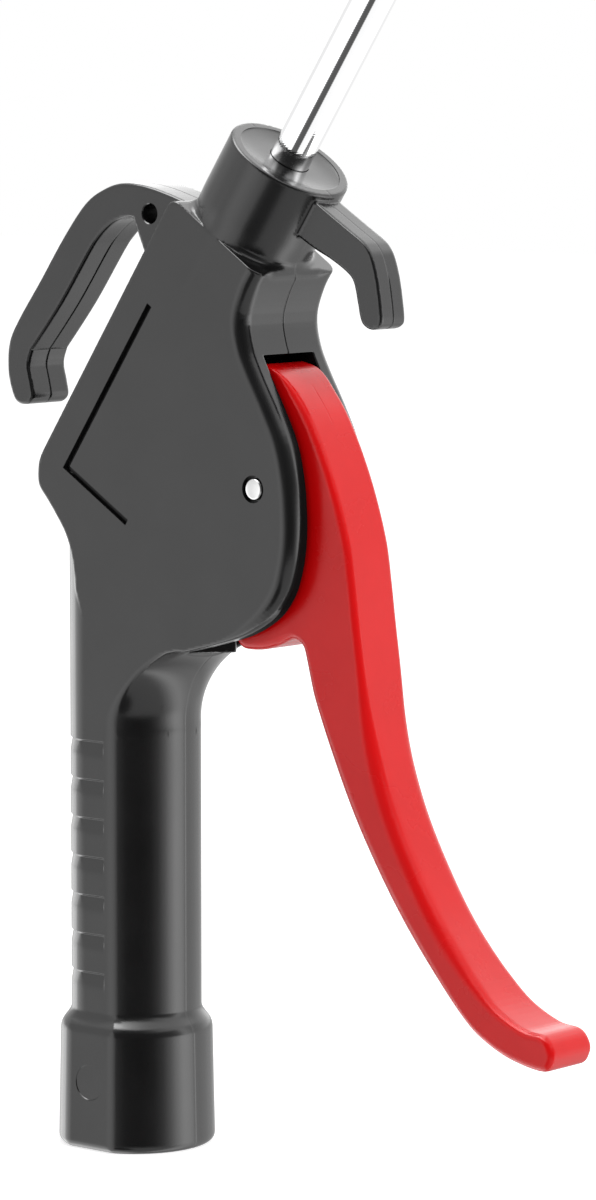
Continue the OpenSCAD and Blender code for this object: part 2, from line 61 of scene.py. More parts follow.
@dataclass(frozen=True)
class Layout:
    """Sizes and places that several pieces share, in millimetres.

    X runs from the hooks' back to the lever, Z up along the handle, and the origin is the centre of the inlet face.
    """

    base_d: float = 25.0
    base_h: float = 22.4
    base_flat_w: float = 23.2
    grip_d: float = 21.2
    flare_z: float = 69.6
    flare_r: float = 14.0
    head_t: float = 20.0
    head_l: float = 56.0
    head_h: float = 72.0
    head_z: float = 82.0
    tilt: float = math.radians(34)
    back_l: float = 48.0
    collar_d: float = 20.2
    collar_h: float = 13.9
    rim_deep: float = 0.3
    tube_d: float = 6.5
    tube_wall: float = 1.0
    tube_l: float = 100.0
    lever_w: float = 10.6
    slot_w: float = 12.0
    pin_d: float = 3.4
    pin_sink: float = 0.05
    valve_drop: float = 10.2

    @property
    def head_x(self) -> float:
        """Back end of the head's length."""
        return -0.223 * self.head_l

    @property
    def step_x(self) -> float:
        """Back wall of the slot beside the lever's root."""
        return self.head_x + 0.684 * self.head_l

    @property
    def face_h(self) -> float:
        """Height of the collar's recessed face above the shoulder."""
        return self.collar_h - self.rim_deep

    @property
    def along(self) -> Array:
        """Direction of the nozzle in X and Z."""
        return np.array([math.sin(self.tilt), math.cos(self.tilt)])

    @property
    def across(self) -> Array:
        """Direction across the nozzle, forward, in X and Z."""
        return np.array([math.cos(self.tilt), -math.sin(self.tilt)])

    @property
    def nozzle(self) -> Array:
        """Where the nozzle's axis leaves the shoulder, in X and Z."""
        return np.array([self.head_x + 0.67 * self.head_l, self.head_z + 0.928 * self.head_h])

    @property
    def pin(self) -> Array:
        """Centre of the lever's cross pin, in X and Z."""
        return np.array([self.head_x + 0.8214 * self.head_l, self.head_z + 0.3778 * self.head_h])

    @property
    def back_top(self) -> Array:
        """Top of the head's straight back edge, in X and Z."""
        return self.nozzle - self.head_t / 2 * self.across

    @property
    def back_low(self) -> Array:
        """Foot of the head's straight back edge, in X and Z."""
        return self.back_top - self.back_l * self.along

    @property
    def flat_x(self) -> float:
        """Half the width of the handle's side flat."""
        return math.sqrt((self.grip_d / 2) ** 2 - (self.head_t / 2) ** 2)

    def nozzle_matrix(self, height: float = 0.0) -> Matrix:
        """Places a form drawn along +Z on the nozzle's axis.

        Args:
            height: distance along the axis from the shoulder.

        Returns:
            The placing matrix, in millimetres.
        """
        x, z = self.nozzle + height * self.along
        return Matrix.Translation((x, 0, z)) @ Matrix.Rotation(self.tilt, 4, "Y")

    @property
    def valve_matrix(self) -> Matrix:
        """Lays a form drawn along +Z on the valve's axis, which runs forward under the pin."""
        return Matrix.Translation((0, 0, self.pin[1] - self.valve_drop)) @ Matrix.Rotation(math.radians(90), 4, "Y")

    def on_head(self, shares: Sequence[Pair]) -> Array:
        """Places shares of the head's length and height."""
        return placed(shares, np.array([self.head_x, self.head_z]), np.array([self.head_l, 0]),
                      np.array([0, self.head_h]))


GUN = Layout()


# Smooth outlines and distances

def smooth_line(points: Sequence[Sequence[float]], steps: int = 5) -> Array:
    """Draws a smooth curve through points.

    Args:
        points: the points, in X and Z.
        steps: steps of the curve between two of them.

    Returns:
        The curve's points, with both ends.
    """
    p = np.asarray(points, float)
    ahead = np.vstack([p[:1], p, p[-1:]])
    t = np.arange(steps)[:, None] / steps
    rows = []
    for a, b, c, d in zip(ahead[:-3], ahead[1:-2], ahead[2:-1], ahead[3:]):
        rows.append(0.5 * (2 * b + (c - a) * t + (2 * a - 5 * b + 4 * c - d) * t ** 2
                           + (3 * b - a - 3 * c + d) * t ** 3))
    return np.vstack([*rows, p[-1:]])


def placed(shares: Sequence[Pair], origin: Array, u: Array, v: Array) -> Array:
    """Places a table of shares.

    Args:
        shares: pairs of shares of the two directions.
        origin: where both shares are zero.
        u: the first direction, with its length.
        v: the second direction, with its length.

    Returns:
        The places, in X and Z.
    """
    s = np.asarray(shares, float)
    return origin + s[:, :1] * u + s[:, 1:] * v


def crosswise(x: float, z: float, y: float = 0.0) -> Matrix:
    """Lays a form drawn along +Z across the gun, its top to the near side, at a place in millimetres."""
    return Matrix.Translation((x, y, z)) @ Matrix.Rotation(math.radians(90), 4, "X")


def fillet(a: Array, b: Array, r: float | Array) -> Array:
    """Joins two solids with a round inner corner.

    Args:
        a: signed distances to the first solid.
        b: signed distances to the second.
        r: radius of the corner.

    Returns:
        Signed distances to both together.
    """
    return np.maximum(r, np.minimum(a, b)) - np.hypot(np.maximum(r - a, 0), np.maximum(r - b, 0))


def eased(a: Array, b: Array, r: float | Array) -> Array:
    """Keeps what two solids share, with a round outer edge.

    Args:
        a: signed distances to the first solid.
        b: signed distances to the second.
        r: radius of the edge.

    Returns:
        Signed distances to the shared solid.
    """
    return np.minimum(-r, np.maximum(a, b)) + np.hypot(np.maximum(r + a, 0), np.maximum(r + b, 0))


def ramp(low: float, high: float, value: Array) -> Array:
    """Rises smoothly from 0 at low to 1 at high."""
    t = np.clip((value - low) / (high - low), 0, 1)
    return t * t * (3 - 2 * t)


class Outline:
    """A closed outline in X and Z that knows how far a point is from it."""

    def __init__(self, points: Array, margin: float = 4.0, pitch: float = 0.1) -> None:
        """Samples the signed distance on a fine net.

        Args:
            points: the outline's points, in order.
            margin: how far the net reaches past the outline.
            pitch: distance between the net's lines.
        """
        self.points = np.asarray(points, float)
        self.low = self.points.min(0) - margin
        self.pitch = pitch
        counts = np.ceil((self.points.max(0) + margin - self.low) / pitch).astype(int) + 1
        x, z = np.meshgrid(*(self.low[i] + pitch * np.arange(counts[i]) for i in (0, 1)), indexing="ij")
        self.table = self._measure(x, z)

    def _measure(self, x: Array, z: Array) -> Array:
        """Measures signed distances exactly, below zero inside."""
        best = np.full(x.shape, np.inf)
        side = np.ones(x.shape)
        for (ax, az), (bx, bz) in zip(self.points, np.roll(self.points, 1, axis=0)):
            ex, ez, wx, wz = bx - ax, bz - az, x - ax, z - az
            if ex == 0 and ez == 0:
                continue
            t = np.clip((wx * ex + wz * ez) / (ex * ex + ez * ez), 0, 1)
            best = np.minimum(best, (wx - t * ex) ** 2 + (wz - t * ez) ** 2)
            above, below, left = z >= az, z < bz, ex * wz > ez * wx
            side = np.where((above & below & left) | ~(above | below | left), -side, side)
        return side * np.sqrt(best)

    def distance(self, x: Array, z: Array) -> Array:
        """Reads the signed distance at points between the net's lines."""
        top = np.array(self.table.shape) - 1.001
        u = (x - self.low[0]) / self.pitch
        v = (z - self.low[1]) / self.pitch
        cu, cv = np.clip(u, 0, top[0]), np.clip(v, 0, top[1])
        i, j = cu.astype(int), cv.astype(int)
        a, b = cu - i, cv - j
        t = self.table
        inside = ((1 - a) * ((1 - b) * t[i, j] + b * t[i, j + 1])
                  + a * ((1 - b) * t[i + 1, j] + b * t[i + 1, j + 1]))
        return inside + self.pitch * np.hypot(u - cu, v - cv)


def planes(low: float, high: float, step: float, fine: Sequence[tuple[float, float, float]] = ()) -> Array:
    """Spaces planes along one direction, closer where there is detail.

    Args:
        low: the first plane.
        high: where the planes end.
        step: the usual distance between two.
        fine: stretches as (start, end, step).

    Returns:
        The places of the planes.
    """
    out = [low]
    while out[-1] < high:
        here = out[-1] + 1e-6
        near = [s for a, b, s in fine if a <= here < b] + [a - out[-1] for a, b, s in fine if a > here]
        out.append(out[-1] + min([step, *near]))
    return np.array(out)


class Skin:
    """Wraps a solid given by its signed distance in an even net of faces."""

    def __init__(self, distance: Callable[[Array, Array, Array], Array], grid: tuple[Array, Array, Array]) -> None:
        """Takes the solid and the planes to measure it on.

        Args:
            distance: signed distance at places X, Y and Z.
            grid: the planes across X, Y and Z.
        """
        self.distance = distance
        self.grid = grid

    def build(self) -> tuple[Array, Array]:
        """Makes the net and settles its points on the surface.

        Returns:
            The points, and the faces as rows of four point numbers.
        """
        x, y, z = self.grid
        values = self.distance(x[:, None, None], y[None, :, None], z[None, None, :])
        values = np.broadcast_to(values, (len(x), len(y), len(z)))
        inside = values < 0
        cells = np.zeros([n - 1 for n in inside.shape], np.int8)
        for i in (0, 1):
            for j in (0, 1):
                for k in (0, 1):
                    cells += inside[i:len(x) - 1 + i, j:len(y) - 1 + j, k:len(z) - 1 + k]
        mixed = (cells > 0) & (cells < 8)
        number = np.full(cells.shape, -1)
        number[mixed] = np.arange(mixed.sum())
        total = np.zeros((mixed.sum(), 3))
        count = np.zeros(mixed.sum())
        faces = []
        for axis in range(3):
            faces.append(self._edges(values, inside, number, axis, total, count))
        points = self._settle(total / count[:, None])
        return points, np.vstack(faces)

    def _edges(self, values: Array, inside: Array, number: Array, axis: int, total: Array, count: Array) -> Array:
        """Adds the crossings along one direction to their cells.

        Args:
            values: the measured distances.
            inside: where they are below zero.
            number: each cell's point number.
            axis: the direction.
            total: sums of crossing places, added to.
            count: numbers of crossings, added to.

        Returns:
            One face for each crossing.
        """
        n = values.shape[axis]
        low, high = np.take(values, range(n - 1), axis), np.take(values, range(1, n), axis)
        start = np.take(inside, range(n - 1), axis)
        cross = np.argwhere(start != np.take(inside, range(1, n), axis))
        at = tuple(cross.T)
        t = low[at] / (low[at] - high[at])
        place = np.stack([self.grid[i][cross[:, i]] for i in range(3)], 1)
        step = self.grid[axis]
        place[:, axis] += t * (step[cross[:, axis] + 1] - step[cross[:, axis]])
        u, v = [i for i in range(3) if i != axis]
        around = []
        for du, dv in ((0, 0), (-1, 0), (-1, -1), (0, -1)):
            cell = cross.copy()
            cell[:, u] += du
            cell[:, v] += dv
            around.append(number[tuple(cell.T)])
        for ids in around:
            count += np.bincount(ids, minlength=len(count))
            for i in range(3):
                total[:, i] += np.bincount(ids, weights=place[:, i], minlength=len(count))
        quads = np.stack(around, 1)
        flip = start[at] != (axis == 1)
        quads[flip] = quads[flip][:, ::-1]
        return quads

    def _settle(self, points: Array, rounds: int = 4, reach: float = 0.25, h: float = 0.01) -> Array:
        """Moves points onto the surface along its slope.

        Args:
            points: the points.
            rounds: how often they move.
            reach: the longest move.
            h: step of the slope's measure.

        Returns:
            The moved points.
        """
        for _ in range(rounds):
            here = self.distance(*points.T)
            slope = np.stack([self.distance(*(points + h * np.eye(3)[i]).T) - here for i in range(3)], 1) / h
            size = np.maximum((slope ** 2).sum(1), 0.05)
            move = -here[:, None] * slope / size[:, None]
            length = np.linalg.norm(move, axis=1)
            points = points + move * np.minimum(1, reach / np.maximum(length, 1e-9))[:, None]
        return points


# Meshes

def to_object(name: str, points: Array, faces: Sequence[Sequence[int]], matrix: Matrix | None = None,
              ) -> bpy.types.Object:
    """Makes an object from points in millimetres.

    Args:
        name: the object's name.
        points: its points.
        faces: its faces, as point numbers.
        matrix: places the points first, in millimetres.

    Returns:
        The object, in metres.
    """
    mesh = bpy.data.meshes.new(name)
    mesh.from_pydata([tuple(p) for p in np.asarray(points, float)], [], [tuple(map(int, f)) for f in faces])
    if matrix is not None:
        mesh.transform(matrix)
    mesh.transform(Matrix.Scale(MM, 4))
    mesh.validate()
    obj = bpy.data.objects.new(name, mesh)
    bpy.context.scene.collection.objects.link(obj)
    return obj


def spun(profile: Sequence[Pair], segments: int = 96) -> tuple[Array, list[list[int]]]:
    """Turns a profile about +Z.

    Args:
        profile: radius and height pairs; a radius of zero closes the form on its axis.
        segments: steps round the axis.

    Returns:
        The points and faces; the form is a ring if the profile's ends are off the axis.
    """
    turns = [2 * math.pi * i / segments for i in range(segments)]
    points, rows = [], []
    for r, z in profile:
        if r == 0:
            rows.append([len(points)] * segments)
            points.append((0, 0, z))
        else:
            rows.append(list(range(len(points), len(points) + segments)))
            points.extend((r * math.cos(a), r * math.sin(a), z) for a in turns)
    ends_open = profile[0][0] != 0
    pairs = list(zip(rows, rows[1:] + rows[:1] if ends_open else rows[1:]))
    faces = []
    for low, high in pairs:
        for i in range(segments):
            j = (i + 1) % segments
            face = [low[i], low[j], high[j], high[i]]
            faces.append(list(dict.fromkeys(face)))
    return np.array(points), [f for f in faces if len(f) > 2]


def bevelled(profile: Sequence[Pair], size: float = 0.12) -> list[Pair]:
    """Cuts the outer corners of a turned profile.

    Args:
        profile: radius and height pairs, with the material on the left.
        size: how much of each side a cut takes.

    Returns:
        The pairs with two in place of each outer corner.
    """
    out = []
    for i, (r, z) in enumerate(profile):
        (r0, z0), (r2, z2) = profile[i - 1], profile[(i + 1) % len(profile)]
        one, two = math.hypot(r - r0, z - z0), math.hypot(r2 - r, z2 - z)
        if r == 0 or (r - r0) * (z2 - z) - (z - z0) * (r2 - r) <= 0:
            out.append((r, z))
            continue
        cut = min(size, 0.3 * one, 0.3 * two)
        out += [(r - (r - r0) * cut / one, z - (z - z0) * cut / one),
                (r + (r2 - r) * cut / two, z + (z2 - z) * cut / two)]
    return out


def wire_ring(r: float, d: float, z: float, sides: int = 16) -> list[Pair]:
    """Draws the profile of a round ring: its wire's centre at radius r and height z, and the wire's diameter d."""
    return [(r + d / 2 * math.cos(2 * math.pi * i / sides), z + d / 2 * math.sin(2 * math.pi * i / sides))
            for i in range(sides)]


def carved(obj: bpy.types.Object, cutters: Sequence[bpy.types.Object]) -> None:
    """Cuts solids out of an object and removes them."""
    for cutter in cutters:
        cut = obj.modifiers.new("cut", "BOOLEAN")
        cut.object = cutter
        cut.operation = "DIFFERENCE"
        cut.solver = "EXACT"
    bake_modifiers(obj)
    for cutter in cutters:
        bpy.data.objects.remove(cutter)


def bake_modifiers(obj: bpy.types.Object) -> None:
    """Applies every modifier of an object to its mesh."""
    graph = bpy.context.evaluated_depsgraph_get()
    graph.update()
    made = bpy.data.meshes.new_from_object(obj.evaluated_get(graph))
    obj.modifiers.clear()
    obj.data = made


def face_out(obj: bpy.types.Object) -> None:
    """Turns every face of a closed mesh outward."""
    shape = bmesh.new()
    shape.from_mesh(obj.data)
    bmesh.ops.recalc_face_normals(shape, faces=shape.faces)
    shape.to_mesh(obj.data)
    shape.free()


def smoothed(obj: bpy.types.Object, angle: float = 35) -> None:
    """Shades an object smooth, apart from edges sharper than an angle in degrees."""
    obj.data.shade_smooth()
    obj.data.set_sharp_from_angle(angle=math.radians(angle))


def shaded(obj: bpy.types.Object, distance: Callable[[Array, Array, Array], Array], angle: float = 40,
           step: float = 0.04, near: float = 0.02) -> None:
    """Shades an object by the true slope of the solid that its net wraps; cut faces keep their own.

    Args:
        obj: the object, in metres.
        distance: signed distance to the solid, in millimetres.
        angle: edges sharper than this, in degrees, stay crisp.
        step: step of the slope's measure, in millimetres.
        near: how far off the solid a point may be and still count as on it, in millimetres.
    """
    smoothed(obj, angle)
    mesh = obj.data
    places = np.empty(3 * len(mesh.vertices))
    mesh.vertices.foreach_get("co", places)
    places = places.reshape(-1, 3) / MM
    steps = step * np.eye(3)
    slope = np.stack([distance(*(places + h).T) - distance(*(places - h).T) for h in steps], 1)
    slope /= np.maximum(np.linalg.norm(slope, axis=1), 1e-9)[:, None]
    on_skin = np.abs(distance(*places.T)) < near
    corners = np.empty(len(mesh.loops), np.int32)
    mesh.loops.foreach_get("vertex_index", corners)
    sizes = np.empty(len(mesh.polygons), np.int32)
    mesh.polygons.foreach_get("loop_total", sizes)
    flat = np.empty(3 * len(mesh.polygons))
    mesh.polygons.foreach_get("normal", flat)
    flat = np.repeat(flat.reshape(-1, 3), sizes, axis=0)
    fits = on_skin[corners] & ((slope[corners] * flat).sum(1) > math.cos(math.radians(angle)))
    mesh.normals_split_custom_set([tuple(n) for n in np.where(fits[:, None], slope[corners], 0.0)])


def report_piece(obj: bpy.types.Object) -> None:
    """Logs a piece's name and size."""
    log.info("%s: %d faces, %.1f x %.1f x %.1f mm", obj.name, len(obj.data.polygons), *(obj.dimensions / MM))


# Finishes

class Slot(Enum):
    """The record's material slots."""

    BODY = "body_plastic"
    LEVER = "lever_plastic"
    TUBE = "tube_chrome"
    PIN = "pin_steel"
    STEM = "stem_steel"
    SPRING = "spring_steel"
    CAGE = "cage_plastic"
    BRASS = "brass"
    SEAL = "seal_rubber"


@dataclass(frozen=True)
class Finish:
    """One finish: its colour and how it shines.

    Where the reach for mirrors isn't zero, other pieces mirror this one only within so many millimetres, and there in a
    dark tone that paints shade into their reflections.
    """

    slot: Slot
    colour: tuple[float, float, float]
    other: tuple[float, float, float]
    rough: float
    rough_range: float
    metal: float = 0.0
    specular: float = 0.5
    grain: float = 0.3
    grain_size: float = 0.4
    brushed: float = 0.0
    mirrored_within: float = 0.0


FINISHES = (
    Finish(Slot.BODY, (0.0065, 0.0065, 0.0067), (0.008, 0.008, 0.0082), 0.2, 0.05, grain=0.4, grain_size=0.35),
    # The lever shows dark in the body's near reflections: painted shade.
    Finish(Slot.LEVER, (0.78, 0.002, 0.003), (0.72, 0.002, 0.003), 0.26, 0.06, specular=0.3, grain=0.2,
           grain_size=0.5, mirrored_within=20.0),
    Finish(Slot.TUBE, (0.97, 0.97, 0.975), (0.95, 0.95, 0.955), 0.05, 0.05, metal=1.0, grain=0.05,
           grain_size=1.5, brushed=0.3),
    Finish(Slot.PIN, (0.52, 0.52, 0.52), (0.46, 0.46, 0.46), 0.18, 0.1, metal=1.0, grain=0.2, grain_size=0.3),
    Finish(Slot.STEM, (0.62, 0.62, 0.63), (0.5, 0.5, 0.51), 0.22, 0.12, metal=1.0, grain=0.15,
           grain_size=0.3, brushed=0.6),
    Finish(Slot.SPRING, (0.5, 0.5, 0.52), (0.38, 0.38, 0.4), 0.3, 0.15, metal=1.0, grain=0.2, grain_size=0.2),
    Finish(Slot.CAGE, (0.7, 0.69, 0.64), (0.62, 0.61, 0.56), 0.45, 0.1, grain=0.3, grain_size=0.3),
    Finish(Slot.BRASS, (0.74, 0.5, 0.2), (0.6, 0.38, 0.14), 0.28, 0.15, metal=1.0, grain=0.3,
           grain_size=0.3, brushed=0.5),
    Finish(Slot.SEAL, (0.014, 0.014, 0.014), (0.022, 0.022, 0.022), 0.6, 0.15, specular=0.4, grain=0.5,
           grain_size=0.25),
)
# Painted shade: the dark colour that such a piece shows in near reflections, in place of its own.
MIRROR_SHADE_TONE = (0.02, 0.01, 0.01, 1)
WORN_GLOSS = 0.1  # how much less rough a worn edge is
GRAIN_DEEP = 0.02  # depth of the full grain, in millimetres


def add_socket(group: bpy.types.NodeTree, name: str, kind: str, out: bool = False, value: float | None = None) -> None:
    """Gives a node group a named socket.

    Args:
        group: the node group.
        name: the socket's name.
        kind: its type, such as NodeSocketFloat.
        out: whether it is an output.
        value: its usual value.
    """
    socket = group.interface.new_socket(name=name, in_out="OUTPUT" if out else "INPUT", socket_type=kind)
    if value is not None:
        socket.default_value = value


class NodeBench:
    """Places and links nodes in one tree."""

    def __init__(self, tree: bpy.types.NodeTree) -> None:
        """Takes the tree to work in."""
        self.tree = tree

    def add(self, kind: str, **values: object) -> bpy.types.Node:
        """Adds a node and sets its inputs by name, or by number as in_0.

        Args:
            kind: the node's type.
            values: attributes, inputs by name with spaces as underscores, or sockets to link.

        Returns:
            The node.
        """
        node = self.tree.nodes.new(kind)
        for name, value in values.items():
            if name.startswith("in_"):
                socket = node.inputs[int(name[3:])]
            elif name.replace("_", " ") in node.inputs:
                socket = node.inputs[name.replace("_", " ")]
            else:
                setattr(node, name, value)
                continue
            if isinstance(value, bpy.types.NodeSocket):
                self.tree.links.new(value, socket)
            else:
                socket.default_value = value
        return node

    def mathed(self, operation: str, *values: object) -> bpy.types.NodeSocket:
        """Adds a Math node.

        Args:
            operation: its operation.
            values: numbers or sockets, in order.

        Returns:
            Its result.
        """
        node = self.add("ShaderNodeMath", operation=operation, **{f"in_{i}": v for i, v in enumerate(values)})
        return node.outputs[0]


def moulded_grain() -> bpy.types.NodeTree:
    """Makes the group for the fine grain of moulded plastic, rubber and turned metal.

    Returns:
        The group, with inputs Size, Depth and Brushed and outputs Height and Mask.
    """
    group = bpy.data.node_groups.new("surface_grain", "ShaderNodeTree")
    for name, value in (("Size", 0.4), ("Depth", 0.3), ("Brushed", 0.0)):
        add_socket(group, name, "NodeSocketFloat", value=value)
    for name in ("Height", "Mask"):
        add_socket(group, name, "NodeSocketFloat", out=True)
    bench = NodeBench(group)
    given = bench.add("NodeGroupInput")
    place = bench.add("ShaderNodeTexCoord").outputs["Object"]
    scale = bench.mathed("DIVIDE", 1 / MM, given.outputs["Size"])
    grain = bench.add("ShaderNodeTexNoise", Vector=place, Scale=scale, Detail=3.0, Roughness=0.6)
    broad = bench.add("ShaderNodeTexNoise", Vector=place, Scale=90.0, Detail=4.0, Roughness=0.55)
    turned = bench.add("ShaderNodeTexWave", Vector=place, Scale=900.0, Distortion=1.5, bands_direction="Z")
    fine = bench.mathed("MULTIPLY", grain.outputs["Fac"], given.outputs["Depth"])
    lines = bench.mathed("MULTIPLY", turned.outputs["Fac"], bench.mathed("MULTIPLY", given.outputs["Brushed"], 0.3))
    height = bench.mathed("ADD", fine, lines)
    mask = bench.add("ShaderNodeMapRange", Value=broad.outputs["Fac"], From_Min=0.35, From_Max=0.65)
    bench.add("NodeGroupOutput", Height=height, Mask=mask.outputs["Result"])
    return group


def edge_wear() -> bpy.types.NodeTree:
    """Makes the group for the faint polish that edges get.

    Returns:
        The group, with the input Amount and the output Mask.
    """
    group = bpy.data.node_groups.new("edge_wear", "ShaderNodeTree")
    add_socket(group, "Amount", "NodeSocketFloat", value=0.5)
    add_socket(group, "Mask", "NodeSocketFloat", out=True)
    bench = NodeBench(group)
    given = bench.add("NodeGroupInput")
    point = bench.add("ShaderNodeNewGeometry").outputs["Pointiness"]
    edge = bench.add("ShaderNodeMapRange", Value=point, From_Min=0.52, From_Max=0.6)
    place = bench.add("ShaderNodeTexCoord").outputs["Object"]
    patches = bench.add("ShaderNodeTexNoise", Vector=place, Scale=260.0, Detail=5.0)
    broken = bench.mathed("MULTIPLY", edge.outputs["Result"], patches.outputs["Fac"])
    bench.add("NodeGroupOutput", Mask=bench.mathed("MULTIPLY", broken, given.outputs["Amount"]))
    return group


class Paintbox:
    """Makes each finish's material once and gives it to pieces."""

    def __init__(self) -> None:
        """Builds the shared groups and every finish."""
        self.grain = moulded_grain()
        self.wear = edge_wear()
        self.made = {finish.slot: self._material(finish) for finish in FINISHES}

    def _material(self, finish: Finish) -> bpy.types.Material:
        """Builds the nodes of one finish."""
        material = bpy.data.materials.new(finish.slot.value)
        material.use_nodes = True
        bench = NodeBench(material.node_tree)
        bench.tree.nodes.clear()
        grain = bench.add("ShaderNodeGroup", node_tree=self.grain)
        grain.inputs["Size"].default_value = finish.grain_size
        grain.inputs["Depth"].default_value = finish.grain
        grain.inputs["Brushed"].default_value = finish.brushed
        wear = bench.add("ShaderNodeGroup", node_tree=self.wear)
        tone = bench.add("ShaderNodeMix", data_type="RGBA")
        bench.tree.links.new(grain.outputs["Mask"], tone.inputs["Factor"])
        tone.inputs[6].default_value = (*finish.colour, 1)
        tone.inputs[7].default_value = (*finish.other, 1)
        rough = bench.add("ShaderNodeMapRange", Value=grain.outputs["Mask"],
                          To_Min=finish.rough - finish.rough_range / 2, To_Max=finish.rough + finish.rough_range / 2)
        gloss = bench.mathed("MULTIPLY", wear.outputs["Mask"], WORN_GLOSS)
        worn = bench.mathed("SUBTRACT", rough.outputs["Result"], gloss)
        bump = bench.add("ShaderNodeBump", Strength=1.0, Distance=GRAIN_DEEP * MM, Height=grain.outputs["Height"])
        shader = bench.add("ShaderNodeBsdfPrincipled", Base_Color=tone.outputs[2], Roughness=worn,
                           Normal=bump.outputs["Normal"], Metallic=finish.metal)
        shader.inputs["Specular IOR Level"].default_value = finish.specular
        if finish.mirrored_within:
            self._paint_shade_in_mirrors(bench, finish, tone.outputs[2], shader)
        bench.add("ShaderNodeOutputMaterial", Surface=shader.outputs["BSDF"])
        return material

    def _paint_shade_in_mirrors(self, bench: NodeBench, finish: Finish, tone: bpy.types.NodeSocket,
                             shader: bpy.types.Node) -> None:
        """Paints a finish dark in near reflections, as painted shade on the pieces that mirror it, and hides it in far
        ones.

        Args:
            bench: where the nodes go.
            finish: the finish.
            tone: its colour.
            shader: its shader.
        """
        light = bench.add("ShaderNodeLightPath")
        mirrored = light.outputs["Is Glossy Ray"]
        colour = bench.add("ShaderNodeMix", data_type="RGBA")
        bench.tree.links.new(mirrored, colour.inputs["Factor"])
        bench.tree.links.new(tone, colour.inputs[6])
        colour.inputs[7].default_value = MIRROR_SHADE_TONE
        bench.tree.links.new(colour.outputs[2], shader.inputs["Base Color"])
        far = bench.mathed("GREATER_THAN", light.outputs["Ray Length"], finish.mirrored_within * MM)
        shown = bench.mathed("SUBTRACT", 1.0, bench.mathed("MULTIPLY", far, mirrored))
        bench.tree.links.new(shown, shader.inputs["Alpha"])

    def dress(self, obj: bpy.types.Object, slot: Slot) -> None:
        """Gives a piece its finish."""
        obj.data.materials.clear()
        obj.data.materials.append(self.made[slot])


# The body

